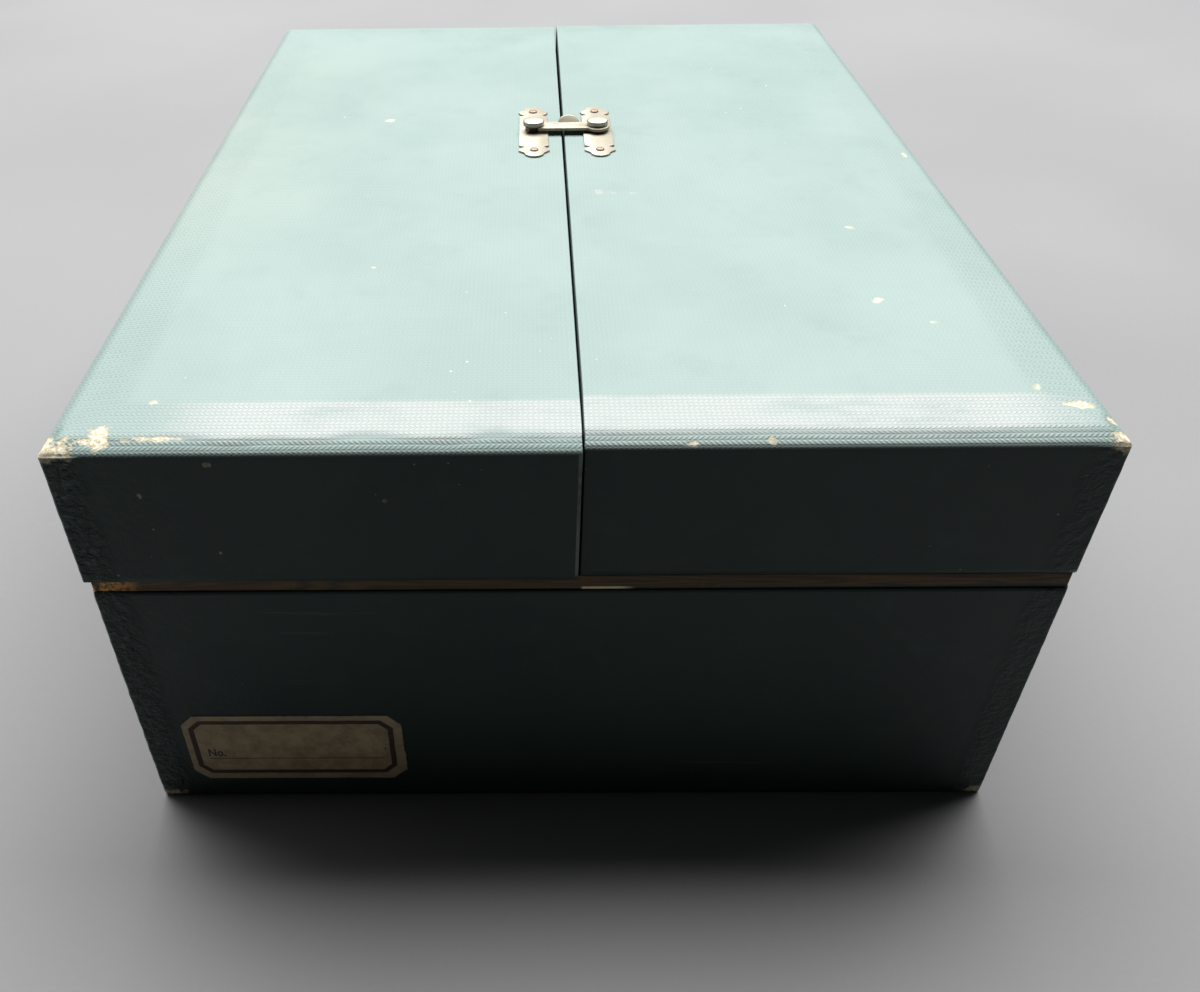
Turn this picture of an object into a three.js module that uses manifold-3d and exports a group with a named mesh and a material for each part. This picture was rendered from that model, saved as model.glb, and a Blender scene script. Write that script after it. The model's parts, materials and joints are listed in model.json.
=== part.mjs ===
// A trial lens set: a cloth-covered wooden case with two lids that open sideways, a hook latch across their
// seam, a tray whose racks hold round trial lenses on edge, and a folding trial frame.
// Millimetres, +Z up, the case's front towards -Y. The origin is the centre of the case's footprint, on the
// surface that it stands on.
import * as THREE from "three";
import { ConvexGeometry } from "three/addons/geometries/ConvexGeometry.js";
import { mergeVertices } from "three/addons/utils/BufferGeometryUtils.js";
import Module from "manifold-3d";

const wasm = await Module();
wasm.setup();

// ---- driving dimensions --------------------------------------------------------------------------------

// Case
const CASE_DEPTH = 400; // over one lid, Y
const BASE_INSET = 0.7; // the base stands back this far under the lids
const CLOTH = 0.6; // covering cloth
const CLOTH_LIFT = 0.8; // from the surface below to the base's cloth
const BASE_WALL = 9;
const FLOOR_THICKNESS = 7;
const BASE_HEIGHT = 103.8; // without the rim
const RIM_HEIGHT = 5.8; // bare wood on top of the base
const RIM_INSET = 0.4; // from the face of the base's cloth to the rim

// Lids
const LID_GAP = 0.3; // from the rim to a closed lid
const LID_HEIGHT = 51.6; // to the flat of its top
const LID_WALL = 7;
const LID_PANEL = 6; // top board, at its thinnest
const LID_SHIFT = 1; // the left lid sits this far forward, and the right one this far back
const EDGE_ROUND = 4; // steep part of a lid's top, along its border
const EDGE_ROUND_DROP = 2.5;
const CROWN_WIDTH = 20; // gentle slope further in
const CROWN_DROP = 1.5;
const SEAM_EASE = 2; // the top's slope along the seam
const SEAM_FRONT_X = 0; // the seam runs a little askew
const SEAM_BACK_X = 2.4;
const SEAM_FRONT_GAP = 0.6;
const SEAM_BACK_GAP = 1.7;
const PAD_THICKNESS = 5; // lining pad under each lid's top
const PAD_MARGIN = 0.3;

// Lid hinges: two small butt hinges on each side
const HINGE_SPACING = 230; // between the hinges of one lid, centre to centre
const HINGE_LENGTH = 38;
const KNUCKLES = 5;
const KNUCKLE_GAP = 0.4;
const KNUCKLE_RADIUS = 2;
const KNUCKLE_CLEARANCE = 0.4; // from a knuckle to the lid's side
const LEAF_WIDTH = 9;
const LEAF_THICKNESS = 1;
const PIN_RADIUS = 0.9;
const PIN_CLEARANCE = 0.25;

// Latch
const LATCH_Y = 28.6; // centre of the two plates
const STUD_Y = 28.6;
const CATCH_X = -11.4;
const PIVOT_X = 16.4;
const PLATE_WIDTH = 12.6;
const PLATE_LENGTH = 59;
const PLATE_THICKNESS = 0.8;
const PLATE_END = 12; // shaped part at each end of a plate
const PLATE_NOTCH = 2.4; // depth of the notch in each side
const PLATE_LOBE_RADIUS = 4.2;
const STUD_HEAD_RADIUS = 4.6;
const STUD_HEAD_HEIGHT = 2;
const STUD_HEAD_EASE = 0.6;
const STUD_NECK_RADIUS = 1.7;
const SPACER_RADIUS = 3;
const SPACER_HEIGHT = 1.4; // lifts the hook off the plates
const HOOK_THICKNESS = 1.2;
const HOOK_WIDTH = 7;
const HOOK_EYE_RADIUS = 5.4;
const HOOK_OVERHANG = 3.6; // past the catch
const HOOK_PLAY = 0.3;
const THUMB_RADIUS = 4.6; // half-round tab on the hook's back edge
const THUMB_THICKNESS = 1.1;
const THUMB_X = 4; // its centre

// Label
const LABEL_WIDTH = 75;
const LABEL_HEIGHT = 34;
const LABEL_CORNER = 6;
const LABEL_THICKNESS = 0.3;
const LABEL_MARGIN = 15.7; // from the left end of the base
const LABEL_Z = 27.7; // its centre

// Tray
const TRAY_CLEARANCE = 0.7; // all round, in the base
const TRAY_SEAT = 0.1; // over its rests
const TRAY_WALL = 5;
const TRAY_FLOOR = 4;
const TRAY_HEADROOM = 1; // over the trial frame, below the rim's top
const TRAY_HEIGHT = 46; // walls above its floor
const REST_SIZE = 10; // square batten on each side wall
const PARTITION = 5;
const PARTITION_HEIGHT = 40;
const FRONT_BAY = 116; // front compartment, Y
const DIVIDER = 6.2; // between two racks
const DIVIDER_HEIGHT = 34;
const RACK_COUNT = 3;
const RACK_HEIGHT = 20;
const SLOT_DEPTH = 18;
const SLOT_WIDTH = 3;
const ROW_PITCH = 7;
const LENS_GAP = 3.2; // between the two lenses of a row
const RACK_MARGIN = 3; // from a lens to the side of its rack

// Trial lenses
const LENS_RADIUS = 19;
const LENS_THICKNESS = 2.4;
const LENS_WALL = 1.7; // rim outside the groove
const LENS_LIP = 1.1; // depth of the groove
const LENS_LIP_THICKNESS = 0.5;
const GLASS_EDGE = 1;
const GLASS_CENTRE = 2;
const GLASS_PLAY = 0.2;
const HANDLE_WIDTH = 6.5;
const HANDLE_LENGTH = 8.5;
const HANDLE_THICKNESS = 1.2;
const LENS_SEAT = 0.1; // from the bottom of its slot
const LENS_PLACES = [ // rack, row from the front, and side of the row
  [0, 5, 1],
  [1, 12, 1],
  [2, 23, -1],
];

// Trial frame, upright in the front compartment
const FRAME_SIDE_MARGIN = 5.2; // from the tray's left wall
const FRAME_MARGIN = 10; // from the tray's front wall to the plane of the cells
const CELL_GAP = 20; // between the two cells
const CELL_DEPTH = 9;
const CELL_PLAY = 0.6; // round a lens
const CELL_WALL = 2.4;
const CELL_SEAT = 3.2; // the flange that a lens rests on, inwards from the bore
const CELL_FLANGE = 2; // its thickness
const RING_PLAY = 0.3;
const RING_DEPTH = 4;
const RING_LUG = 3; // block on the ring, for turning it
const BAR_END = 8; // the top bar runs this far past the cells
const BAR_HEIGHT = 4;
const BAR_DEPTH = 3;
const CARRIAGE_WIDTH = 12; // holds a cell on the bar
const CARRIAGE_WALL = 1.5;
const SLIDE_PLAY = 0.3;
const TEMPLE_END_GAP = 1.4; // from an unfolded temple to the partition
const ARM_THICKNESS = 1; // the bar's arms under the temples
const TEMPLE_THICKNESS = 2;
const TEMPLE_EYE = 3.4; // radius round its pivot
const TEMPLE_PIN = 1.2;
const TEMPLE_OFFSET = 9; // pivot behind the cells' plane
const NOSE_MARGIN = 4; // from the nose rest to each cell
const NOSE_HEIGHT = 20;
const NOSE_TOP = 1; // its post stands this far over the bar
const NOSE_THICKNESS = 2.4;
const NOSE_POST = 4;

// Occluder: a blank disc with a handle, lying in the front compartment
const OCCLUDER_SIDE_MARGIN = 56; // its centre, from the tray's right wall
const OCCLUDER_FRONT_MARGIN = 58;
const OCCLUDER_TURN_DEGREES = 35;

// Facets of round pieces
const FINE = 32;
const MEDIUM = 24;
const COARSE = 12;

// ---- derived sizes -------------------------------------------------------------------------------------

const LENS_PITCH = 2 * LENS_RADIUS + LENS_GAP;
const RACK_WIDTH = LENS_PITCH + 2 * (LENS_RADIUS + RACK_MARGIN);
const BAY_WIDTH = RACK_COUNT * RACK_WIDTH + (RACK_COUNT - 1) * DIVIDER;
const SIDE_WALL = TRAY_WALL + TRAY_CLEARANCE + BASE_WALL + CLOTH + BASE_INSET;
const CASE_WIDTH = BAY_WIDTH + 2 * SIDE_WALL;

const BASE_HALF_X = CASE_WIDTH / 2 - BASE_INSET;
const BASE_HALF_Y = CASE_DEPTH / 2 - BASE_INSET;
const BOARD_HALF_X = BASE_HALF_X - CLOTH;
const BOARD_HALF_Y = BASE_HALF_Y - CLOTH;
const INNER_HALF_X = BOARD_HALF_X - BASE_WALL;
const INNER_HALF_Y = BOARD_HALF_Y - BASE_WALL;
const RIM_TOP = BASE_HEIGHT + RIM_HEIGHT;

const LID_BOTTOM = RIM_TOP + LID_GAP;
const LID_TOP = LID_BOTTOM + LID_HEIGHT;
const LID_EDGE = LID_TOP - CROWN_DROP - EDGE_ROUND_DROP;
const PANEL_BOTTOM = LID_EDGE - CLOTH - LID_PANEL;

const LABEL_X = -BASE_HALF_X + LABEL_MARGIN + LABEL_WIDTH / 2;

const HINGE_X = CASE_WIDTH / 2 + KNUCKLE_CLEARANCE + KNUCKLE_RADIUS;
const HINGE_Z = RIM_TOP + LID_GAP / 2;

const PLATE_TOP = LID_TOP + PLATE_THICKNESS;
const HOOK_BOTTOM = PLATE_TOP + SPACER_HEIGHT + HOOK_PLAY;
const HOOK_TOP = HOOK_BOTTOM + HOOK_THICKNESS;
const STUD_HEAD_BOTTOM = HOOK_TOP + HOOK_PLAY;

const CELL_BORE = LENS_RADIUS + CELL_PLAY;
const CELL_RADIUS = CELL_BORE + CELL_WALL;
const CELL_APERTURE = CELL_BORE - CELL_SEAT;
const CELL_X = CELL_GAP / 2 + CELL_RADIUS; // from the middle of the trial frame
const FRAME_HEIGHT = 2 * CELL_RADIUS + CARRIAGE_WALL + BAR_HEIGHT + NOSE_TOP;
const TRAY_FLOOR_Z = RIM_TOP - TRAY_HEADROOM - FRAME_HEIGHT - TRAY_SEAT;

const TRAY_HALF_X = INNER_HALF_X - TRAY_CLEARANCE;
const TRAY_HALF_Y = INNER_HALF_Y - TRAY_CLEARANCE;
const BAY_HALF_X = TRAY_HALF_X - TRAY_WALL;
const BAY_HALF_Y = TRAY_HALF_Y - TRAY_WALL;
const REST_TOP = TRAY_FLOOR_Z - TRAY_FLOOR - TRAY_SEAT;
const PARTITION_Y = -BAY_HALF_Y + FRONT_BAY;
const RACK_Y = PARTITION_Y + PARTITION;
const ROWS = Math.floor((BAY_HALF_Y - RACK_Y) / ROW_PITCH);
const FIRST_ROW_Y = (BAY_HALF_Y + RACK_Y - (ROWS - 1) * ROW_PITCH) / 2;
const LENS_Z = TRAY_FLOOR_Z + RACK_HEIGHT - SLOT_DEPTH + LENS_SEAT + LENS_RADIUS;

const FRAME_Y = -BAY_HALF_Y + FRAME_MARGIN;
const CELL_Z = TRAY_FLOOR_Z + TRAY_SEAT + CELL_RADIUS;
const BAR_BOTTOM = CELL_Z + CELL_RADIUS + CARRIAGE_WALL;
const TEMPLE_HEIGHT = BAR_HEIGHT - ARM_THICKNESS - SLIDE_PLAY;
const BAR_REACH = CELL_X + CELL_RADIUS + BAR_END;
const PIVOT_REACH = BAR_REACH + TEMPLE_EYE;
const FRAME_X = -BAY_HALF_X + FRAME_SIDE_MARGIN + PIVOT_REACH + TEMPLE_EYE;
const TEMPLE_LENGTH = FRONT_BAY - FRAME_MARGIN - TEMPLE_OFFSET - TEMPLE_END_GAP;
const NOSE_WIDTH = CELL_GAP - 2 * NOSE_MARGIN;

// ---- materials -----------------------------------------------------------------------------------------

const finish = (color, roughness, metalness = 0) => (
  new THREE.MeshStandardMaterial({ color, roughness, metalness })
);
const TEAL_CLOTH = finish(0x7fa29d, 0.7);
const PALE_WOOD = finish(0xb98a58, 0.6);
const RACK_WOOD = finish(0x6b4630, 0.6);
const VELVET = finish(0x4a1f2c, 0.9);
const PAPER = finish(0xcdbd96, 0.8);
const NICKEL = finish(0xd9cfb8, 0.35, 0.9);
const BRASS = finish(0xb08d4f, 0.4, 0.9);
const LENS_METAL = finish(0xc9b27a, 0.35, 0.9);
const GLASS = finish(0xe6f0ee, 0.05);
const FRAME_METAL = finish(0xb9bcbc, 0.35, 0.9);
const BLACK = finish(0x1c1c1c, 0.6);

// ---- helpers -------------------------------------------------------------------------------------------

/** A closed geometry with shared vertices, as a solid that can be joined and cut. */
function solid(geometry) {
  const bare = geometry.index ? geometry.toNonIndexed() : geometry.clone();
  bare.deleteAttribute("normal");
  bare.deleteAttribute("uv");
  const merged = mergeVertices(bare, 1e-4);
  return new wasm.Manifold(
    new wasm.Mesh({
      numProp: 3,
      vertProperties: new Float32Array(merged.attributes.position.array),
      triVerts: new Uint32Array(merged.index.array),
    }),
  );
}

/** A solid back as a geometry. */
function geometryOf(body) {
  const mesh = body.getMesh();
  const geometry = new THREE.BufferGeometry();
  geometry.setAttribute("position", new THREE.BufferAttribute(mesh.vertProperties, 3));
  geometry.setIndex(new THREE.BufferAttribute(mesh.triVerts, 1));
  geometry.computeVertexNormals();
  return geometry;
}

const join = (...bodies) => bodies.reduce((sum, body) => sum.add(body));
const range = (count) => Array.from({ length: count }, (_, index) => index);

/** A box between two values on each axis, given in either order. */
function box([x0, x1], [y0, y1], [z0, z1]) {
  const geometry = new THREE.BoxGeometry(Math.abs(x1 - x0), Math.abs(y1 - y0), Math.abs(z1 - z0));
  return geometry.translate((x0 + x1) / 2, (y0 + y1) / 2, (z0 + z1) / 2);
}

/** A round bar along an axis ("x", "y" or "z"), centred on a point. */
function rod(axis, radius, length, [x, y, z], facets = COARSE) {
  const geometry = new THREE.CylinderGeometry(radius, radius, length, facets);
  if (axis === "x") geometry.rotateZ(Math.PI / 2);
  if (axis === "z") geometry.rotateX(Math.PI / 2);
  return geometry.translate(x, y, z);
}

/** A turned piece about the Z axis, from a closed profile of [radius, height]. */
function turned(profile, facets) {
  const points = profile.map(([radius, height]) => new THREE.Vector2(radius, height));
  if (profile[0][0] > 0) points.push(points[0].clone());
  return new THREE.LatheGeometry(points, facets).rotateX(Math.PI / 2);
}

/** A flat outline pushed up from z0 to z1. */
function plateOf(shape, z0, z1) {
  const settings = { depth: z1 - z0, bevelEnabled: false, curveSegments: 6 };
  return new THREE.ExtrudeGeometry(shape, settings).translate(0, 0, z0);
}

const rectangle = (halfX, halfY) => [
  new THREE.Vector2(-halfX, -halfY),
  new THREE.Vector2(halfX, -halfY),
  new THREE.Vector2(halfX, halfY),
  new THREE.Vector2(-halfX, halfY),
];

/** A rectangular frame with straight walls. */
function hollowBox(halfX, halfY, wall, z0, z1) {
  const shape = new THREE.Shape(rectangle(halfX, halfY));
  shape.holes.push(new THREE.Path(rectangle(halfX - wall, halfY - wall).reverse()));
  return plateOf(shape, z0, z1);
}

/** Adds a named piece to a group. */
function piece(group, name, shape, material) {
  const geometry = shape.isBufferGeometry ? shape : geometryOf(shape);
  const mesh = new THREE.Mesh(geometry, material.clone());
  mesh.name = name;
  group.add(mesh);
  return mesh;
}

// ---- base ----------------------------------------------------------------------------------------------

function makeBase(group) {
  const spanX = [-BOARD_HALF_X, BOARD_HALF_X];
  const spanY = [-BOARD_HALF_Y, BOARD_HALF_Y];
  const innerY = [-INNER_HALF_Y, INNER_HALF_Y];
  const wallZ = [FLOOR_THICKNESS, BASE_HEIGHT];
  const restZ = [REST_TOP - REST_SIZE, REST_TOP];
  piece(group, "base_floor", box(spanX, spanY, [0, FLOOR_THICKNESS]), PALE_WOOD);
  for (const [name, side] of [["front", -1], ["back", 1]]) {
    const wallY = [side * INNER_HALF_Y, side * BOARD_HALF_Y];
    piece(group, `base_${name}_wall`, box(spanX, wallY, wallZ), PALE_WOOD);
  }
  for (const [name, side] of [["left", -1], ["right", 1]]) {
    const wallX = [side * INNER_HALF_X, side * BOARD_HALF_X];
    const restX = [side * INNER_HALF_X, side * (INNER_HALF_X - REST_SIZE)];
    piece(group, `base_${name}_wall`, box(wallX, innerY, wallZ), PALE_WOOD);
    piece(group, `tray_rest_${name}`, box(restX, innerY, restZ), PALE_WOOD);
  }
  const cloth = hollowBox(BASE_HALF_X, BASE_HALF_Y, CLOTH, CLOTH_LIFT, BASE_HEIGHT);
  piece(group, "base_cloth", cloth, TEAL_CLOTH);
  const rimWall = BASE_WALL + CLOTH - RIM_INSET;
  const rim = hollowBox(BASE_HALF_X - RIM_INSET, BASE_HALF_Y - RIM_INSET, rimWall, BASE_HEIGHT, RIM_TOP);
  piece(group, "rim_strip", rim, PALE_WOOD);
}

/** The paper label: a rectangle with clipped corners, glued to the front. */
function makeLabel(group) {
  const [halfWidth, halfHeight] = [LABEL_WIDTH / 2, LABEL_HEIGHT / 2];
  const corners = [[1, -1], [1, 1], [-1, 1], [-1, -1]];
  const outline = corners.flatMap(([x, z], index) => {
    const clipped = [
      new THREE.Vector2(x * (halfWidth - LABEL_CORNER), z * halfHeight),
      new THREE.Vector2(x * halfWidth, z * (halfHeight - LABEL_CORNER)),
    ];
    return index % 2 === 0 ? clipped : clipped.reverse();
  });
  const geometry = plateOf(new THREE.Shape(outline), 0, LABEL_THICKNESS).rotateX(Math.PI / 2);
  piece(group, "label", geometry.translate(LABEL_X, -BASE_HALF_Y, LABEL_Z), PAPER);
}

// ---- lids ----------------------------------------------------------------------------------------------

/** The four corners of one lid at a height, moved in from its border and from the seam. */
function lidCorners(side, margin, seamMargin, z) {
  const outer = side * (CASE_WIDTH / 2 - margin);
  const front = -CASE_DEPTH / 2 + side * LID_SHIFT + margin;
  const back = CASE_DEPTH / 2 + side * LID_SHIFT - margin;
  const seamX = (y) => {
    const along = y / CASE_DEPTH + 0.5;
    const middle = SEAM_FRONT_X + along * (SEAM_BACK_X - SEAM_FRONT_X);
    const gap = SEAM_FRONT_GAP + along * (SEAM_BACK_GAP - SEAM_FRONT_GAP);
    return middle + side * (gap / 2 + seamMargin);
  };
  return [
    new THREE.Vector3(outer, front, z),
    new THREE.Vector3(seamX(front), front, z),
    new THREE.Vector3(seamX(back), back, z),
    new THREE.Vector3(outer, back, z),
  ];
}

/** The outer form of one lid, moved in by an amount all round. */
function lidForm(side, inset) {
  return solid(new ConvexGeometry([
    ...lidCorners(side, inset, inset, LID_BOTTOM),
    ...lidCorners(side, inset, inset, LID_EDGE - inset),
    ...lidCorners(side, EDGE_ROUND + inset, SEAM_EASE / 2 + inset, LID_TOP - CROWN_DROP - inset),
    ...lidCorners(side, CROWN_WIDTH + inset, SEAM_EASE + inset, LID_TOP - inset),
  ]));
}

/** A straight-sided block with a lid's outline. */
const lidBlock = (side, margin, seamMargin, z0, z1) => solid(new ConvexGeometry([
  ...lidCorners(side, margin, seamMargin, z0),
  ...lidCorners(side, margin, seamMargin, z1),
]));

/** One lid. It is open towards the seam, so the two closed lids share one hollow. */
function makeLid(group, name, side) {
  const past = 10; // a cut runs this far past what it cuts
  const wall = CLOTH + LID_WALL;
  const boards = lidForm(side, CLOTH);
  const upper = lidBlock(side, -past, -past, PANEL_BOTTOM, LID_TOP + past);
  const hollow = lidBlock(side, wall, -past, LID_BOTTOM - past, PANEL_BOTTOM);
  const pad = lidBlock(side, wall + PAD_MARGIN, wall, PANEL_BOTTOM - PAD_THICKNESS, PANEL_BOTTOM);
  piece(group, `${name}_frame`, boards.subtract(join(upper, hollow)), PALE_WOOD);
  piece(group, `${name}_panel`, boards.intersect(upper), PALE_WOOD);
  piece(group, `${name}_pad`, pad, VELVET);
  const underside = lidBlock(side, CLOTH, CLOTH, LID_BOTTOM - past, PANEL_BOTTOM);
  piece(group, `${name}_cloth`, lidForm(side, 0).subtract(join(boards, hollow, underside)), TEAL_CLOTH);
}

// ---- lid hinges ----------------------------------------------------------------------------------------

/** One leaf: a plate on the case's side, and its share of the knuckles on the pin's axis. */
function hingeLeaf(side, y, up, faceX, knuckles) {
  const pitch = HINGE_LENGTH / KNUCKLES;
  const webZ = [HINGE_Z + up * KNUCKLE_RADIUS, HINGE_Z + up * (KNUCKLE_RADIUS - LEAF_THICKNESS)];
  const plateEdge = HINGE_Z + up * (KNUCKLE_RADIUS + KNUCKLE_CLEARANCE);
  const plateZ = [plateEdge, HINGE_Z + up * (KNUCKLE_RADIUS + LEAF_WIDTH)];
  const plateX = [side * faceX, side * (faceX + LEAF_THICKNESS)];
  const parts = [solid(box(plateX, [y - HINGE_LENGTH / 2, y + HINGE_LENGTH / 2], plateZ))];
  for (const knuckle of knuckles) {
    const start = y - HINGE_LENGTH / 2 + knuckle * pitch + KNUCKLE_GAP / 2;
    const length = pitch - KNUCKLE_GAP;
    parts.push(solid(box(plateX, [start, start + length], [plateEdge, webZ[1]])));
    parts.push(solid(box([side * faceX, side * HINGE_X], [start, start + length], webZ)));
    parts.push(solid(rod("y", KNUCKLE_RADIUS, length, [side * HINGE_X, start + length / 2, HINGE_Z])));
  }
  const bore = rod("y", PIN_RADIUS + PIN_CLEARANCE, HINGE_LENGTH + 2, [side * HINGE_X, y, HINGE_Z]);
  return join(...parts).subtract(solid(bore));
}

function makeHinge(baseGroup, lidGroup, name, side, y) {
  const all = range(KNUCKLES);
  const outer = all.filter((knuckle) => knuckle % 2 === 0);
  const inner = all.filter((knuckle) => knuckle % 2 === 1);
  piece(baseGroup, `${name}_base_leaf`, hingeLeaf(side, y, -1, BASE_HALF_X, outer), BRASS);
  piece(lidGroup, `${name}_lid_leaf`, hingeLeaf(side, y, 1, CASE_WIDTH / 2, inner), BRASS);
  piece(baseGroup, `${name}_pin`, rod("y", PIN_RADIUS, HINGE_LENGTH, [side * HINGE_X, y, HINGE_Z]), BRASS);
}

// ---- latch ---------------------------------------------------------------------------------------------

/** A long plate whose ends are notched and drawn in to a round lobe. */
function latchPlate(x) {
  const half = PLATE_WIDTH / 2;
  const tip = PLATE_LENGTH / 2;
  const shoulder = tip - PLATE_END;
  const end = [
    [half, shoulder],
    [half - PLATE_NOTCH, shoulder + 1.4],
    [half - 0.4, shoulder + 3],
    [half + 0.3, shoulder + 5.4],
    [PLATE_LOBE_RADIUS, tip - PLATE_LOBE_RADIUS],
  ];
  const lobe = [30, 60, 90].map((degrees) => {
    const angle = THREE.MathUtils.degToRad(degrees);
    return [PLATE_LOBE_RADIUS * Math.cos(angle), tip - PLATE_LOBE_RADIUS * (1 - Math.sin(angle))];
  });
  const quarter = [...end, ...lobe];
  const backHalf = [...quarter, ...quarter.slice(0, -1).reverse().map(([u, v]) => [-u, v])];
  const outline = [...backHalf, ...backHalf.map(([u, v]) => [-u, -v])];
  const shape = new THREE.Shape(outline.map(([u, v]) => new THREE.Vector2(u, v)));
  return plateOf(shape, LID_TOP, PLATE_TOP).translate(x, LATCH_Y, 0);
}

/** A stud with a wide round head. The hook runs between the head and whatever is under it. */
function latchStud(x, spacer) {
  const headTop = STUD_HEAD_BOTTOM + STUD_HEAD_HEIGHT;
  const foot = [[SPACER_RADIUS, PLATE_TOP], [SPACER_RADIUS, PLATE_TOP + SPACER_HEIGHT]];
  const profile = [
    [0, PLATE_TOP],
    ...(spacer ? foot : []),
    [STUD_NECK_RADIUS, spacer ? PLATE_TOP + SPACER_HEIGHT : PLATE_TOP],
    [STUD_NECK_RADIUS, STUD_HEAD_BOTTOM],
    [STUD_HEAD_RADIUS, STUD_HEAD_BOTTOM],
    [STUD_HEAD_RADIUS, headTop - STUD_HEAD_EASE],
    [STUD_HEAD_RADIUS - STUD_HEAD_EASE, headTop],
    [0, headTop],
  ];
  return turned(profile, MEDIUM).translate(x, STUD_Y, 0);
}

/** The hook: an arm with an eye on the pivot, a notch that opens to the front, and a thumb tab. */
function latchHook() {
  const notch = STUD_NECK_RADIUS + HOOK_PLAY;
  const arm = box(
    [CATCH_X - HOOK_OVERHANG, PIVOT_X],
    [STUD_Y - HOOK_WIDTH / 2, STUD_Y + HOOK_WIDTH / 2],
    [HOOK_BOTTOM, HOOK_TOP],
  );
  const middle = (HOOK_BOTTOM + HOOK_TOP) / 2;
  const eye = rod("z", HOOK_EYE_RADIUS, HOOK_THICKNESS, [PIVOT_X, STUD_Y, middle], MEDIUM);
  const tabY = STUD_Y + HOOK_WIDTH / 2 - THUMB_THICKNESS / 2;
  const tab = solid(rod("y", THUMB_RADIUS, THUMB_THICKNESS, [THUMB_X, tabY, HOOK_TOP - 0.2], MEDIUM))
    .intersect(solid(box([-CASE_WIDTH, CASE_WIDTH], [-CASE_DEPTH, CASE_DEPTH], [HOOK_BOTTOM, LID_TOP * 2])));
  const cuts = join(
    solid(rod("z", notch, 10, [PIVOT_X, STUD_Y, middle], MEDIUM)),
    solid(rod("z", notch, 10, [CATCH_X, STUD_Y, middle], MEDIUM)),
    solid(box([CATCH_X - notch, CATCH_X + notch], [STUD_Y - HOOK_WIDTH, STUD_Y], [middle - 5, middle + 5])),
  );
  return join(solid(arm), solid(eye), tab).subtract(cuts);
}

// ---- tray ----------------------------------------------------------------------------------------------

const rowY = (row) => FIRST_ROW_Y + row * ROW_PITCH;
const rackX = (rack) => -BAY_HALF_X + RACK_WIDTH / 2 + rack * (RACK_WIDTH + DIVIDER);

/** One rack: a block with a slot across it for each row of lenses. */
function rackBlock(rack) {
  const top = TRAY_FLOOR_Z + RACK_HEIGHT;
  const outline = [[RACK_Y, top], [RACK_Y, TRAY_FLOOR_Z], [BAY_HALF_Y, TRAY_FLOOR_Z], [BAY_HALF_Y, top]];
  for (const row of range(ROWS).reverse()) {
    const [near, far] = [rowY(row) - SLOT_WIDTH / 2, rowY(row) + SLOT_WIDTH / 2];
    outline.push([far, top], [far, top - SLOT_DEPTH], [near, top - SLOT_DEPTH], [near, top]);
  }
  const shape = new THREE.Shape(outline.map(([y, z]) => new THREE.Vector2(y, z)));
  const alongX = new THREE.Matrix4().makeBasis(
    new THREE.Vector3(0, 1, 0),
    new THREE.Vector3(0, 0, 1),
    new THREE.Vector3(1, 0, 0),
  );
  return plateOf(shape, -RACK_WIDTH / 2, RACK_WIDTH / 2).applyMatrix4(alongX).translate(rackX(rack), 0, 0);
}

function makeTray(group) {
  const spanX = [-TRAY_HALF_X, TRAY_HALF_X];
  const spanY = [-TRAY_HALF_Y, TRAY_HALF_Y];
  const bayX = [-BAY_HALF_X, BAY_HALF_X];
  const above = (height) => [TRAY_FLOOR_Z, TRAY_FLOOR_Z + height];
  piece(group, "tray_floor", box(spanX, spanY, above(-TRAY_FLOOR)), RACK_WOOD);
  const frame = hollowBox(TRAY_HALF_X, TRAY_HALF_Y, TRAY_WALL, ...above(TRAY_HEIGHT));
  piece(group, "tray_frame", frame, RACK_WOOD);
  piece(group, "tray_partition", box(bayX, [PARTITION_Y, RACK_Y], above(PARTITION_HEIGHT)), RACK_WOOD);
  for (const rack of range(RACK_COUNT)) {
    piece(group, `lens_rack_${rack + 1}`, rackBlock(rack), VELVET);
  }
  for (const gap of range(RACK_COUNT - 1)) {
    const left = rackX(gap) + RACK_WIDTH / 2;
    const divider = box([left, left + DIVIDER], [RACK_Y, BAY_HALF_Y], above(DIVIDER_HEIGHT));
    piece(group, `rack_divider_${gap + 1}`, divider, RACK_WOOD);
  }
}

// ---- trial lenses --------------------------------------------------------------------------------------

/** A disc or ring turned about Z is stood on edge, facing along Y, and moved to a place. */
const onEdge = (geometry, [x, y, z]) => geometry.rotateX(Math.PI / 2).translate(x, y, z);

/** The handle of a lens, pointing up. */
const handle = ([x, y, z]) => box(
  [x - HANDLE_WIDTH / 2, x + HANDLE_WIDTH / 2],
  [y - HANDLE_THICKNESS / 2, y + HANDLE_THICKNESS / 2],
  [z + LENS_RADIUS - LENS_WALL / 2, z + LENS_RADIUS + HANDLE_LENGTH],
);

function makeLens(group, number, [rack, row, side]) {
  const place = [rackX(rack) + side * LENS_PITCH / 2, rowY(row), LENS_Z];
  const half = LENS_THICKNESS / 2;
  const lip = half - LENS_LIP_THICKNESS;
  const groove = LENS_RADIUS - LENS_WALL;
  const rim = [
    [groove - LENS_LIP, -half], [LENS_RADIUS, -half], [LENS_RADIUS, half], [groove - LENS_LIP, half],
    [groove - LENS_LIP, lip], [groove, lip], [groove, -lip], [groove - LENS_LIP, -lip],
  ];
  const glassRadius = groove - GLASS_PLAY;
  const glass = [
    [0, -GLASS_CENTRE / 2], [glassRadius, -GLASS_EDGE / 2],
    [glassRadius, GLASS_EDGE / 2], [0, GLASS_CENTRE / 2],
  ];
  const ring = onEdge(turned(rim, MEDIUM), place);
  piece(group, `lens_${number}_rim`, join(solid(ring), solid(handle(place))), LENS_METAL);
  piece(group, `lens_${number}_glass`, onEdge(turned(glass, MEDIUM), place), GLASS);
}

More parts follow.
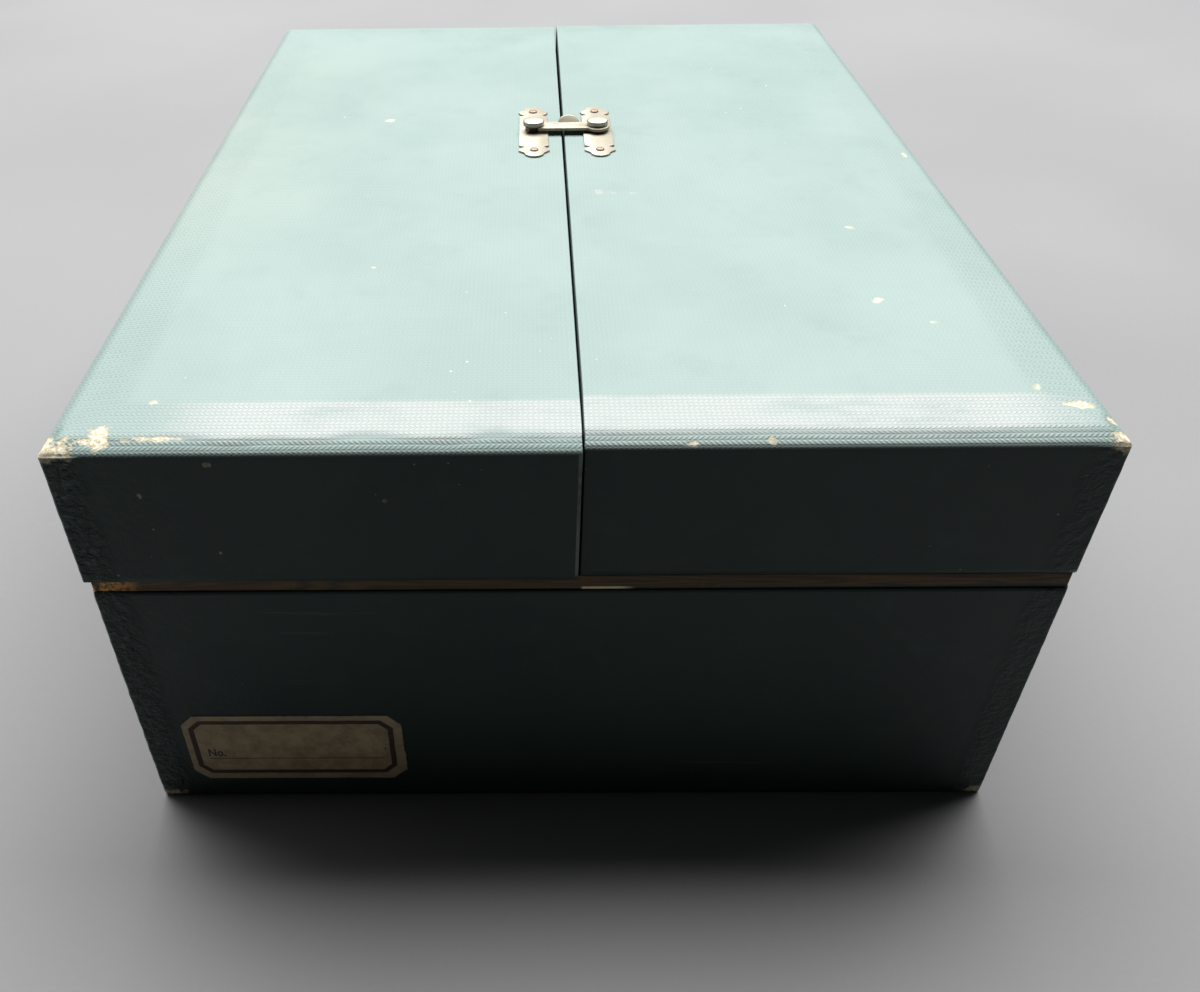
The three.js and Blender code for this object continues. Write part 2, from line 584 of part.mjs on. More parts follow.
/** The occluder: as large as a lens, but one blank disc. */
function makeOccluder(group) {
  const half = LENS_THICKNESS / 2;
  const disc = turned([[0, -half], [LENS_RADIUS, -half], [LENS_RADIUS, half], [0, half]], MEDIUM);
  const body = join(solid(disc.rotateX(Math.PI / 2)), solid(handle([0, 0, 0])));
  const geometry = geometryOf(body).rotateX(-Math.PI / 2);
  geometry.rotateZ(THREE.MathUtils.degToRad(OCCLUDER_TURN_DEGREES));
  geometry.translate(
    BAY_HALF_X - OCCLUDER_SIDE_MARGIN,
    -BAY_HALF_Y + OCCLUDER_FRONT_MARGIN,
    TRAY_FLOOR_Z + TRAY_SEAT + half,
  );
  piece(group, "occluder", geometry, BLACK);
}

// ---- trial frame ---------------------------------------------------------------------------------------

/** One lens cell with the carriage that rides on the top bar. */
function frameCell(x) {
  const half = CELL_DEPTH / 2;
  const ring = turned([
    [CELL_APERTURE, half], [CELL_APERTURE, half - CELL_FLANGE], [CELL_BORE, half - CELL_FLANGE],
    [CELL_BORE, -half], [CELL_RADIUS, -half], [CELL_RADIUS, half],
  ], FINE);
  const halfWidth = CARRIAGE_WIDTH / 2;
  const slotY = BAR_DEPTH / 2 + SLIDE_PLAY;
  const outerY = slotY + CARRIAGE_WALL;
  const barTop = BAR_BOTTOM + BAR_HEIGHT;
  const carriage = box(
    [x - halfWidth, x + halfWidth],
    [FRAME_Y - outerY, FRAME_Y + outerY],
    [CELL_Z + CELL_RADIUS - 1, barTop],
  );
  const slot = box(
    [x - halfWidth - 1, x + halfWidth + 1],
    [FRAME_Y - slotY, FRAME_Y + slotY],
    [BAR_BOTTOM - SLIDE_PLAY, barTop + 1],
  );
  return join(solid(onEdge(ring, [x, FRAME_Y, CELL_Z])), solid(carriage)).subtract(solid(slot));
}

/** The ring that turns in a cell's bore, with a lug on its rear. */
function cellRing(x) {
  const front = FRAME_Y - CELL_DEPTH / 2 + CELL_FLANGE + RING_PLAY;
  const outer = CELL_BORE - RING_PLAY;
  const ring = turned([
    [CELL_APERTURE, 0], [outer, 0], [outer, RING_DEPTH], [CELL_APERTURE, RING_DEPTH],
  ], FINE);
  const lugZ = CELL_Z + (outer + CELL_APERTURE) / 2;
  const lug = box(
    [x - RING_LUG / 2, x + RING_LUG / 2],
    [front + RING_DEPTH - 1, front + RING_DEPTH + RING_LUG],
    [lugZ - 1, lugZ + 1],
  );
  return join(solid(onEdge(ring, [x, front + RING_DEPTH, CELL_Z])), solid(lug));
}

/** Where a temple turns. */
const pivotOf = (side) => [FRAME_X + side * PIVOT_REACH, FRAME_Y + TEMPLE_OFFSET];

/** Bottom and top of a temple: the right one lies over its arm and the left one under it, so they pass. */
function templeZ(side) {
  const bottom = BAR_BOTTOM + (side > 0 ? ARM_THICKNESS + SLIDE_PLAY : -SLIDE_PLAY - TEMPLE_HEIGHT);
  return [bottom, bottom + TEMPLE_HEIGHT];
}

/** The top bar, with an arm at each end that carries a temple's pivot pin. */
function frameBar() {
  const barX = [FRAME_X - BAR_REACH, FRAME_X + BAR_REACH];
  const barY = [FRAME_Y - BAR_DEPTH / 2, FRAME_Y + BAR_DEPTH / 2];
  const armZ = [BAR_BOTTOM, BAR_BOTTOM + ARM_THICKNESS];
  const parts = [solid(box(barX, barY, [BAR_BOTTOM, BAR_BOTTOM + BAR_HEIGHT]))];
  for (const side of [-1, 1]) {
    const [x, y] = pivotOf(side);
    const outward = [FRAME_X + side * (BAR_REACH - 2), x + side * TEMPLE_EYE];
    const backward = [barY[0], y + TEMPLE_EYE];
    const pinZ = [Math.min(armZ[0], templeZ(side)[0]), Math.max(armZ[1], templeZ(side)[1])];
    parts.push(solid(box(outward, barY, armZ)));
    parts.push(solid(box([x - TEMPLE_EYE, x + TEMPLE_EYE], backward, armZ)));
    parts.push(solid(rod("z", TEMPLE_PIN, pinZ[1] - pinZ[0], [x, y, (pinZ[0] + pinZ[1]) / 2])));
  }
  return join(...parts);
}

/** A temple, folded: an eye on its pivot and a flat arm towards the other side. */
function frameTemple(side) {
  const [x, y] = pivotOf(side);
  const [z0, z1] = templeZ(side);
  const armY = [y - TEMPLE_THICKNESS / 2, y + TEMPLE_THICKNESS / 2];
  const eye = rod("z", TEMPLE_EYE - SLIDE_PLAY, TEMPLE_HEIGHT, [x, y, (z0 + z1) / 2], COARSE);
  const arm = box([x, x - side * TEMPLE_LENGTH], armY, [z0, z1]);
  const bore = rod("z", TEMPLE_PIN + PIN_CLEARANCE, 3 * TEMPLE_HEIGHT, [x, y, z1]);
  return join(solid(eye), solid(arm)).subtract(solid(bore));
}

/** The nose rest: a saddle on a post that slides on the middle of the bar. */
function noseRest() {
  const slotY = BAR_DEPTH / 2 + SLIDE_PLAY;
  const back = FRAME_Y + slotY;
  const top = BAR_BOTTOM + BAR_HEIGHT;
  const post = box(
    [FRAME_X - NOSE_POST / 2, FRAME_X + NOSE_POST / 2],
    [back, back + NOSE_THICKNESS],
    [top - NOSE_HEIGHT, top + NOSE_TOP],
  );
  const halfWidth = NOSE_WIDTH / 2;
  const saddle = new THREE.Shape();
  saddle.moveTo(-halfWidth, 0);
  saddle.absarc(0, 0, halfWidth, Math.PI, 0, true);
  saddle.lineTo(halfWidth - NOSE_THICKNESS, 0);
  saddle.absarc(0, 0, halfWidth - NOSE_THICKNESS, 0, Math.PI, false);
  saddle.closePath();
  const arch = plateOf(saddle, -NOSE_THICKNESS, 0).rotateX(Math.PI / 2);
  arch.translate(FRAME_X, back, top - NOSE_HEIGHT - halfWidth + NOSE_THICKNESS);
  return join(solid(post), solid(arch));
}

function makeTrialFrame(bar) {
  piece(bar, "frame_bar", frameBar(), FRAME_METAL);
  piece(bar, "nose_rest", noseRest(), FRAME_METAL);
  for (const [name, side] of [["left", -1], ["right", 1]]) {
    const x = FRAME_X + side * CELL_X;
    piece(bar, `${name}_cell`, frameCell(x), FRAME_METAL);
    piece(bar, `${name}_cell_ring`, cellRing(x), BLACK);
    piece(bar, `${name}_temple`, frameTemple(side), FRAME_METAL);
  }
}

// ---- the whole set -------------------------------------------------------------------------------------

const set = new THREE.Group();
const [base, leftLid, rightLid, tray, trialFrame] = range(5).map(() => new THREE.Group());
set.add(base, leftLid, rightLid, tray, trialFrame);

makeBase(base);
makeLabel(base);
for (const [name, lid, side] of [["left", leftLid, -1], ["right", rightLid, 1]]) {
  makeLid(lid, `${name}_lid`, side);
  makeHinge(base, lid, `${name}_front_hinge`, side, -HINGE_SPACING / 2);
  makeHinge(base, lid, `${name}_back_hinge`, side, HINGE_SPACING / 2);
}
piece(leftLid, "catch_plate", latchPlate(CATCH_X), NICKEL);
piece(leftLid, "catch_stud", latchStud(CATCH_X, false), NICKEL);
piece(rightLid, "pivot_plate", latchPlate(PIVOT_X), NICKEL);
piece(rightLid, "pivot_stud", latchStud(PIVOT_X, true), NICKEL);
piece(rightLid, "latch_hook", latchHook(), NICKEL);
makeTray(tray);
LENS_PLACES.forEach((place, index) => makeLens(tray, index + 1, place));
makeOccluder(tray);
makeTrialFrame(trialFrame);

export default set;
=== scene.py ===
"""The finished look of a trial lens set: a cloth-covered case with two lids, a latch, racks of trial lenses
and a trial frame. Metres, the case's front towards -Y, and the origin under the middle of the case."""

import json
import math

import bmesh
import bpy
import numpy as np
from mathutils import Matrix, Vector, noise

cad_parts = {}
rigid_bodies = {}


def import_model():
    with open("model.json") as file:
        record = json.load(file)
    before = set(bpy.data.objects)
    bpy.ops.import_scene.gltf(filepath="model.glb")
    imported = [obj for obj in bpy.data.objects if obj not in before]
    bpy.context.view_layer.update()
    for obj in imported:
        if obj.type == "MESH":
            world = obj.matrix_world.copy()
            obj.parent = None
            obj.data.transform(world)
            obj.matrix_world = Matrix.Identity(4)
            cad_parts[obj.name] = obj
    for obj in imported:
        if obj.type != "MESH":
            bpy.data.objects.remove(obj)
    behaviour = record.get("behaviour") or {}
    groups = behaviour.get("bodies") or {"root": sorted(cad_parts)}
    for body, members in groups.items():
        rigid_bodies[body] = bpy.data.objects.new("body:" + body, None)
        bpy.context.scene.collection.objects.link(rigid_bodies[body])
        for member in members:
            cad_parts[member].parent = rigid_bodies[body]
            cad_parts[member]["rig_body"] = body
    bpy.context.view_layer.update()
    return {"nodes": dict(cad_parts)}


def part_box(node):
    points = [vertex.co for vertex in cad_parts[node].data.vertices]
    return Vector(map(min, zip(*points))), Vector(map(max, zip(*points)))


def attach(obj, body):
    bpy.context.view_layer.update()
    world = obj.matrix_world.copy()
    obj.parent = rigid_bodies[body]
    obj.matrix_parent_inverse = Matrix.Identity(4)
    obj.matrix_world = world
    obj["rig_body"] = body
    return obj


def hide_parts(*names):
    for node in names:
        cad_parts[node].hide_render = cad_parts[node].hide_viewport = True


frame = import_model()
MM = 0.001

# ---- sizes, in millimetres

CASE_HALF_X, CASE_HALF_Y = 150.0, 200.0
BASE_HALF_X, BASE_HALF_Y = 149.3, 199.3
CLOTH = 0.6
CLOTH_BOTTOM, BASE_TOP = 0.8, 103.8
LID_BOTTOM, LID_EDGE = 109.9, 157.5
PANEL_BOTTOM = 150.9
LID_WALL = 7.6  # board and cloth
LID_SHIFT = 1.0
ROUND = 1.0  # the cloth turns over a board's edge with this radius
SEAM_ROUND = 0.3
STEEP, CROWN = 4.0, 20.0  # the two slopes of a lid's border end this far in
STEEP_RISE, CROWN_RISE = 2.5, 4.0
SEAM_EASE = 0.35
WRAP = 12.0  # the cloth is folded over itself this far round each upright corner
SEAM_X = (0.0, 2.4)  # middle of the seam at the front and at the back
SEAM_GAP = (0.5, 1.15)
FAR = 999.0  # past any edge: that side of a covering has no worn edge and no painted edge glint

LATCH_Y = 28.6  # middle of the plates, the studs and the hook
CATCH_X, PIVOT_X = -11.4, 16.4
PLATE_TOP, NAIL_REACH = 162.3, 22.8
HEAD_BOTTOM, HEAD_SIDE, HEAD_RADIUS, DOME_RISE, NECK_RADIUS = 164.7, 1.7, 4.6, 1.0, 1.9
SPACER_RADIUS, SPACER_TOP = 3.0, 163.1  # the pivot stud's foot
HOOK_TOP, HOOK_DROP, HOOK_WIDENING = 165.2, 0.6, 1.12
THUMB_LEAN, THUMB_LOSS = 0.5, 0.45  # how far the thumb tab leans back and lowers for its height

RACKS = (-91.4, 0.0, 91.4)
LENS_SIDE, LENS_Z, LENS_RADIUS, LENS_FACETS = 20.6, 79.1, 19.0, 16
FIRST_ROW, ROW_PITCH, ROWS = -58.5, 7.0, 35
CAD_LENSES = ((0, 5, 1), (1, 12, 1), (2, 23, -1))  # rack, row and side of the three that lift out

HINGE_Y, HINGE_LEAF = 115.0, 1.0
HINGE_SCREW_STEP, BASE_SCREW_Z, LID_SCREW_Z = 13.0, 102.4, 117.1

PAD_EASE, PAD_ROUND = 0.3, 2.2
TUFT_STEP, TUFT_ROW_STEP, TUFT_REACH, TUFT_DEPTH = 30, 42, 7.5, 1.8

LABEL_X, LABEL_Z, LABEL_FACE = -97.2, 27.9, -199.6
LABEL_HALF, LABEL_CLIP, LABEL_THICK = (38.5, 17.4), 4.8, 0.3
BORDER_X, BORDER_Z = -97.7, 28.2  # the printed border is a little off the paper's middle
BORDER_HALF, BORDER_CLIP = (33.9, 12.9), 3.2
RULE_Z, TICK_X, TICK_Z = 22.2, -65.7, 27.4
SIGN_X, SIGN_Z, SIGN_SIZE = -128.6, 23.6, 4.3


# ---- writing with nodes

def add_node(tree, kind, settings=None, values=None):
    """Adds a node, with its settings first and then what its sockets hold or are linked to."""
    made = tree.nodes.new(kind)
    for name, value in (settings or {}).items():
        setattr(made, name, value)
    for name, value in (values or {}).items():
        socket = made.inputs[name]
        value = value.socket if isinstance(value, Term) else value
        if isinstance(value, bpy.types.NodeSocket):
            tree.links.new(value, socket)
        elif isinstance(value, tuple) and socket.type == "RGBA":
            socket.default_value = (*value, 1.0)
        else:
            socket.default_value = value
    return made


def operation(kind, reverse=False, clamp=False):
    """A method of Term that adds one maths node."""

    def add_math(term, *others):
        values = (*others, term) if reverse else (term, *others)
        settings = {"operation": kind, "use_clamp": clamp}
        made = term.shader.node("ShaderNodeMath", settings, dict(enumerate(values)))
        return Term(term.shader, made.outputs[0])

    return add_math


class Term:
    """A number that changes over a surface. Sums and products of it add their nodes."""

    def __init__(self, shader, socket):
        self.shader, self.socket = shader, socket

    __add__ = __radd__ = operation("ADD")
    __sub__ = operation("SUBTRACT")
    __rsub__ = operation("SUBTRACT", reverse=True)
    __mul__ = __rmul__ = operation("MULTIPLY")
    __pow__ = operation("POWER")
    __abs__ = operation("ABSOLUTE")
    floor = operation("FLOOR")
    fraction = operation("FRACT")
    most = operation("MAXIMUM")
    root = operation("SQRT")

    def clamped(self):
        """Kept between 0 and 1."""
        return operation("ADD", clamp=True)(self, 0.0)

    def step(self, low, high, start=0.0, end=1.0):
        """Goes smoothly from start at low to end at high."""
        if low > high:
            low, high, start, end = high, low, end, start
        made = self.shader.node(
            "ShaderNodeMapRange",
            {"interpolation_type": "SMOOTHSTEP"},
            {0: self, 1: low, 2: high, 3: start, 4: end},
        )
        return Term(self.shader, made.outputs[0])


class Shader:
    """One material, with its nodes."""

    def __init__(self, name, constants=None):
        self.material = bpy.data.materials.new(name)
        self.material.use_nodes = True
        self.tree = self.material.node_tree
        self.tree.nodes.clear()
        output = self.tree.nodes.new("ShaderNodeOutputMaterial")
        self.surface = self.tree.nodes.new("ShaderNodeBsdfPrincipled")
        self.tree.links.new(self.surface.outputs[0], output.inputs[0])
        for socket, value in (constants or {}).items():
            self.surface.inputs[socket].default_value = value
        place = self.node("ShaderNodeTexCoord").outputs
        self.place = place["Object"]
        self.uv = place["UV"]
        self.x, self.y, self.z = self.parts(self.place)

    def node(self, kind, settings=None, values=None):
        return add_node(self.tree, kind, settings, values)

    def parts(self, vector):
        outputs = self.node("ShaderNodeSeparateXYZ", None, {0: vector}).outputs
        return [Term(self, output) for output in outputs]

    def noise(self, scale, detail=2.0, roughness=0.5, distortion=0.0, stretch=None):
        """Smooth noise with this many lumps to the metre."""
        at = self.place
        if stretch:
            at = self.node("ShaderNodeMapping", None, {"Vector": at, "Scale": stretch}).outputs[0]
        values = {"Vector": at, "Scale": scale, "Detail": detail, "Roughness": roughness}
        values["Distortion"] = distortion
        return Term(self, self.node("ShaderNodeTexNoise", None, values).outputs[0])

    def cells(self, scale):
        """Distance to the nearest of many scattered points, with this many points to the metre."""
        values = {"Vector": self.place, "Scale": scale}
        return Term(self, self.node("ShaderNodeTexVoronoi", None, values).outputs[0])

    def near(self, middle, value, full, none):
        """1 within full of the middle of x, y or z, falling to 0 at none. All in millimetres."""
        return (abs(value - middle * MM) * (1 / MM)).step(none, full)

    def attribute(self, name):
        made = self.node("ShaderNodeAttribute", {"attribute_name": name})
        return Term(self, made.outputs["Fac"])

    def mix(self, share, first, second):
        """The second colour over the first."""
        made = self.node("ShaderNodeMix", {"data_type": "RGBA"}, {0: share, 6: first, 7: second})
        return made.outputs[2]

    def finish(self, color, roughness, bump, depth, metallic=None):
        """Links what was written to the surface. The bump's depth is in millimetres."""
        values = {"Height": bump, "Distance": depth * MM, "Strength": 1.0}
        normal = self.node("ShaderNodeBump", None, values).outputs[0]
        links = {"Base Color": color, "Roughness": roughness.socket, "Normal": normal}
        if metallic:
            links["Metallic"] = metallic.socket
        for name, socket in links.items():
            self.tree.links.new(socket, self.surface.inputs[name])
        return self.material


# ---- materials

def darker(color, share):
    return tuple(c * share for c in color)


# Worn places in the cloth: middle, reach along x, y and z, and strength
WORN_SPOTS = (
    ((-150, -200, 158), (9, 7, 3.2), 1.0),
    ((-134, -196.5, 160), (3.0, 5.5, 3), 1.0),
    ((-136, -197.4, 160), (4.5, 1.5, 3), 1.0),
    ((-119, -196.5, 160), (8, 1.1, 3), 0.75),
    ((-122, -181, 161), (1.6, 1.6, 3), 0.7),
    ((150, -198.5, 158), (6, 4, 4), 1.0),
    ((141, -184, 161), (5.4, 2.0, 3), 1.0),
    ((147, -190, 160), (2, 2.0, 3), 0.8),
    ((52, -197.2, 159), (1.2, 1.0, 2.5), 0.8),
    ((30, -197.9, 158.6), (1.9, 1.0, 2.5), 0.9),
    ((131, -176, 161), (1.4, 1.7, 3), 0.45),
    ((-76, 44.5, 161), (2.6, 2.2, 3), 1.0),
    ((99, -124.5, 161), (2.4, 1.8, 3), 1.0),
    ((-68, -98.5, 161), (1.0, 0.7, 3), 0.9),
    ((13, -36.5, 161), (2.0, 2.6, 3), 0.20),
    ((19, -37, 161), (2.5, 1.2, 3), 0.16),
    ((26, -37.4, 161), (2.6, 1.2, 3), 0.14),
    ((113, -139, 161), (1.4, 1.1, 3), 0.3),
    ((103, -70, 161), (1.8, 1.4, 3), 0.6),
    ((143, 1, 161), (1.0, 3.5, 3), 0.7),
    ((-125, -201, 143), (0.9, 3, 1.5), 0.45),
    ((-104, -201, 154), (1.2, 3, 0.8), 0.35),
    ((-106, -201, 121.5), (0.6, 3, 0.6), 0.4),
    ((-149, -199, 2), (10, 5, 2.6), 1.0),
    ((149, -199, 2), (7, 5, 2.4), 0.8),
    ((149.5, -199.5, 108), (3, 3, 4), 0.6),
)

DASH_PITCH, DASH_ROW, DASH_SLANT = 1.5, 1.45, 0.8
LAP_SLOPE = 1.3 / 300  # the base cloth's edge climbs this much from left to right


def embossing(s):
    """1 on the raised dashes, which lean to one side and to the other from row to row."""
    u, v, _ = s.parts(s.uv)
    rows = v * (1 / DASH_ROW)
    side = (rows.floor() * 0.5).fraction() * 4 - 1
    across = 1 - abs(rows.fraction() * 2 - 1)
    along = (u * (1 / DASH_PITCH) + side * (rows.fraction() - 0.5) * DASH_SLANT).fraction()
    return (1 - abs(along * 2 - 1)).step(0.15, 0.75) * across.step(0.1, 0.6)


def worn_through(s, spots, fine):
    """1 where the cloth is worn to its fibres at one of the worn spots."""
    worn = None
    for middle, reach, strength in WORN_SPOTS:
        x, y, z = (
            ((axis - place * MM) * (1 / (span * MM))) ** 2.0
            for axis, place, span in zip((s.x, s.y, s.z), middle, reach)
        )
        spot = ((x + y + z).root() + (spots - 0.5) * 2.6 + (fine - 0.5) * 1.1).step(1.05, 0.55) * strength
        worn = spot if worn is None else worn.most(spot)
    return worn


def flecks(s, top, grime, fine):
    """Small bare flecks and finer dust, thicker on the lids' tops."""
    size = s.noise(33, 1)
    fleck = (s.cells(52) * 100 + (size - 0.42) * 24 + fine * 4).step(3.2, 2.5) * (0.25 + top * 0.35)
    dust = (s.cells(170) * 100 + (grime - 0.40) * 45).step(4.9, 3.4) * (0.25 + top * 0.45)
    return fleck.most(dust)


def teal_cloth():
    """Bookbinder's cloth, embossed with rows of slanted dashes, coated and worn. Its lid tops are painted
    lighter and its walls darker, as painted light and shade.
    """
    s = Shader("teal_cloth", {"Specular IOR Level": 0.18})
    dash = embossing(s)
    grime = s.noise(14, 4, 0.6)
    patches = s.noise(45, 5, 0.62)
    fine = s.noise(900, 3, 0.6)
    spots = s.noise(230, 3, 0.7)
    wrap = s.attribute("wrap")
    edge = s.attribute("edge")
    top = s.z.step(0.1562, 0.1580)
    wall = 1 - top

    # Painted light and shade: the tops take the lighter colour and every wall the darker one, as lit and
    # shaded copies of one cloth.
    faded = s.mix(grime.step(0.3, 0.7), (0.148, 0.197, 0.183), (0.166, 0.215, 0.201))
    deep = s.mix(grime.step(0.3, 0.7), (0.021, 0.033, 0.030), (0.026, 0.040, 0.036))
    color = s.mix(top, deep, faded)
    # Painted sheen: a pale grey highlight along the lids' front band, broken up by noise. The band is also a
    # little smoother.
    rubbing = s.noise(60, 4, 0.65, stretch=(0.5, 1.6, 1.0))
    polish = s.attribute("polish") * rubbing.step(0.30, 0.56, 0.35, 1.1)
    color = s.mix(polish * 0.55, color, (0.250, 0.248, 0.243))
    # Painted highlights on the raised dashes, more on the tops and in the sheen band.
    color = s.mix(dash * (top * 0.12 + polish * 0.5), color, (0.30, 0.325, 0.315))
    color = s.mix(patches.step(0.52, 0.75) * (0.16 - top * 0.07), color, (0.05, 0.08, 0.075))
    yellowed = s.x.step(-0.06, -0.15) * s.y.step(-0.13, 0.0) * s.y.step(0.19, 0.08)
    color = s.mix(top * yellowed * grime.step(0.35, 0.62) * 0.17, color, (0.24, 0.24, 0.175))
    # Painted shade in the crease behind each lid's steep front border.
    color = s.mix(s.attribute("crease") * 0.45, color, (0.06, 0.09, 0.085))

    # Painted highlight: a pale line on the left side's edges towards the front, added to the rubbed wear and
    # so drawn in the worn fibre colour.
    left_edge_highlight = s.x.step(-0.1465, -0.149) * s.y.step(-0.07, -0.15) * 0.42
    rubbed_and_edge_highlight = (edge * 1.15 + (spots - 0.5) * 1.5 + (patches - 0.5) * 2.0 + left_edge_highlight * edge).step(1.02, 1.5)
    worn = worn_through(s, spots, fine).most(rubbed_and_edge_highlight * 0.85).most(flecks(s, top, grime, fine)).clamped()
    # Painted highlights: lighter creases and edge glints on the lit left front corner.
    crease_highlights = s.noise(280, 3, 0.6, 0.8, stretch=(1.0, 1.0, 1.6)).step(0.54, 0.64)
    lit_corner = s.x.step(-0.139, -0.148) * s.y.step(-0.17, -0.19) * wall
    color = s.mix(crease_highlights * wrap * lit_corner * 0.4, color, (0.13, 0.18, 0.168))
    glint = edge.step(0.25, 0.55) * spots.step(0.3, 0.5)
    color = s.mix(glint * lit_corner * 0.8, color, (0.30, 0.37, 0.34))
    seam_edge = s.near(-0.8, s.x, 0.3, 0.75) * s.y.step(-0.195, -0.2) * s.z.step(0.110, 0.113)
    color = s.mix(seam_edge * wall * patches.step(0.35, 0.55) * 0.55, color, (0.22, 0.27, 0.25))
    fibre = s.mix(fine.step(0.40, 0.62), (0.33, 0.275, 0.175), (0.54, 0.50, 0.40))
    color = s.mix(worn, color, fibre)
    scratch = s.noise(60, 4, 0.7, stretch=(0.12, 1.0, 4.0)).step(0.66, 0.74) * s.z.step(0.11, 0.10)
    color = s.mix(scratch * 0.35, color, (0.11, 0.15, 0.14))

    crumple = s.noise(360, 3, 0.6, 0.5).step(0.35, 0.65)
    leather = s.noise(520, 2, 0.5) * s.x.step(-0.075, -0.145) * wall
    raised = dash * (0.07 + top * 0.09 + s.attribute("band") * 0.34) * (1 - worn)
    height = raised + fine * 0.10 + patches * 0.5 - worn * 0.45 + leather * 1.1
    height = height + wrap * (crumple * 2.6 + spots * 1.6)
    rough = 0.43 - polish * 0.08 + fine * 0.08 + worn * 0.4 + grime * 0.06
    return s.finish(color, rough, height, 0.21)


def rim_scuffs(s, color):
    """The rim strip's front: a bare left end, pale rubbing, the cloth's lapped edge and a chipped line."""
    front = s.y.step(-0.1960, -0.1972)
    bare = front * s.x.step(-0.132, -0.143) * s.noise(330, 4, 0.7).step(0.40, 0.56)
    color = s.mix(bare, color, (0.55, 0.27, 0.05))
    color = s.mix(s.noise(120, 4, 0.6).step(0.6, 0.75) * 0.3, color, (0.28, 0.20, 0.11))
    lap = (s.z - s.x * LAP_SLOPE).step(0.1046, 0.1043) * s.x.step(-0.11, -0.09)
    color = s.mix(lap * front, color, (0.012, 0.018, 0.017))
    line = front * s.z.step(0.1052, 0.1047) * s.x.step(0.0005, 0.0015) * s.x.step(0.018, 0.012)
    return s.mix(line * 0.8, color, (0.75, 0.66, 0.42))


def wood(name, light, dark, along, rough, scuffed=False):
    """Planed wood, with its grain along one axis."""
    s = Shader(name)
    stretch = tuple(0.07 if axis == along else 1.0 for axis in range(3))
    rings = s.noise(55, 3, 0.6, 0.4, stretch)
    pores = s.noise(900, 3, 0.7, stretch=stretch)
    grain = (1 - abs((rings * 26).fraction() * 2 - 1)).step(0.0, 0.9)
    color = s.mix(grain, dark, light)
    color = s.mix(pores.step(0.52, 0.66) * 0.45, color, darker(dark, 0.45))
    if scuffed:
        color = rim_scuffs(s, color)
    return s.finish(color, rough + pores * 0.15, grain * 0.35 + pores * 0.65, 0.09)


def velvet(name, deep, tip):
    """Velvet whose pile is brushed lighter in places."""
    sheen = {"Sheen Weight": 0.2, "Sheen Roughness": 0.35, "Sheen Tint": (*tip, 1.0)}
    s = Shader(name, {"Specular IOR Level": 0.15, **sheen})
    pile = s.noise(2600, 2, 0.7)
    brushed = s.noise(30, 3, 0.55, 0.3)
    color = s.mix(brushed.step(0.3, 0.7), deep, tip)
    color = s.mix(pile.step(0.45, 0.62) * 0.4, color, darker(deep, 0.5))
    return s.finish(color, 0.85 + pile * 0.1, pile + brushed * 0.6, 0.12)


def metal(name, color, stain, rough, pits=0.25, bare=1.0, foot=None):
    """Plated or plain metal with tarnish, small pits and fine scratches, and with painted shade below the
    foot's height.
    """
    s = Shader(name)
    cloud = s.noise(210, 4, 0.65)
    grain = s.noise(2400, 3, 0.6, stretch=(0.2, 1.0, 1.0))
    spots = s.noise(1500, 2, 0.6).step(0.62, 0.7)
    tone = s.mix(cloud.step(0.42, 0.72) * 0.8, color, stain)
    tone = s.mix(spots * pits, tone, darker(stain, 0.4))
    # Painted shade under a stud's head: darker below the foot's height.
    if foot:
        tone = s.mix(s.z.step((foot + 0.4) * MM, (foot - 0.3) * MM) * 0.85, tone, darker(stain, 0.12))
    metallic = bare - spots * 0.3 - cloud.step(0.5, 0.8) * 0.15
    return s.finish(tone, rough + cloud * 0.18 + spots * 0.2, grain * 0.6 + spots * 0.4, 0.03, metallic)


def paper():
    """A glued label: old paper with a printed border with clipped corners, one rule and a small tick."""
    s = Shader("label_paper")
    across = abs(s.x - BORDER_X * MM) * (1 / MM)
    up = abs(s.z - BORDER_Z * MM) * (1 / MM)
    half_x, half_z = BORDER_HALF
    sharp = (across - half_x).most(up - half_z)
    clipped = (across + up - (half_x + half_z - BORDER_CLIP)) * math.sqrt(0.5)
    outside = sharp.most(clipped) + (s.noise(160, 3) - 0.5) * 0.5
    border = outside.step(-0.50, -0.15) * outside.step(1.75, 1.4)
    rule = s.near(RULE_Z, s.z, 0.15, 0.32) * s.x.step(-0.1290, -0.1282) * s.x.step(-0.0662, -0.0670)
    tick = s.near(TICK_Z, s.z, 0.5, 0.9) * s.near(TICK_X, s.x, 0.2, 0.35)
    stains = s.noise(120, 5, 0.7)
    fibres = s.noise(1400, 4, 0.7)
    blots = s.noise(190, 4, 0.6)
    color = s.mix(stains.step(0.35, 0.66), (0.39, 0.31, 0.185), (0.25, 0.18, 0.10))
    color = s.mix(blots.step(0.56, 0.72) * 0.5, color, (0.15, 0.11, 0.06))
    color = s.mix(outside.step(1.1, 1.7) * 0.25, color, (0.24, 0.20, 0.14))
    faded = 1 - stains.step(0.5, 0.75) * 0.15 - fibres.step(0.62, 0.78) * 0.4
    printed = border.most(rule * 0.75).most(tick * 0.7) * faded
    color = s.mix(printed, color, (0.042, 0.019, 0.014))
    return s.finish(color, 0.72 + fibres * 0.15, fibres + stains * 0.8, 0.08)


def ink():
    """Printing ink that has faded into the paper."""
    s = Shader("printing_ink")
    fibres = s.noise(1600, 3, 0.7)
    color = s.mix(fibres.step(0.5, 0.75), (0.035, 0.022, 0.018), (0.12, 0.085, 0.055))
    return s.finish(color, 0.6 + fibres * 0.2, fibres, 0.03)


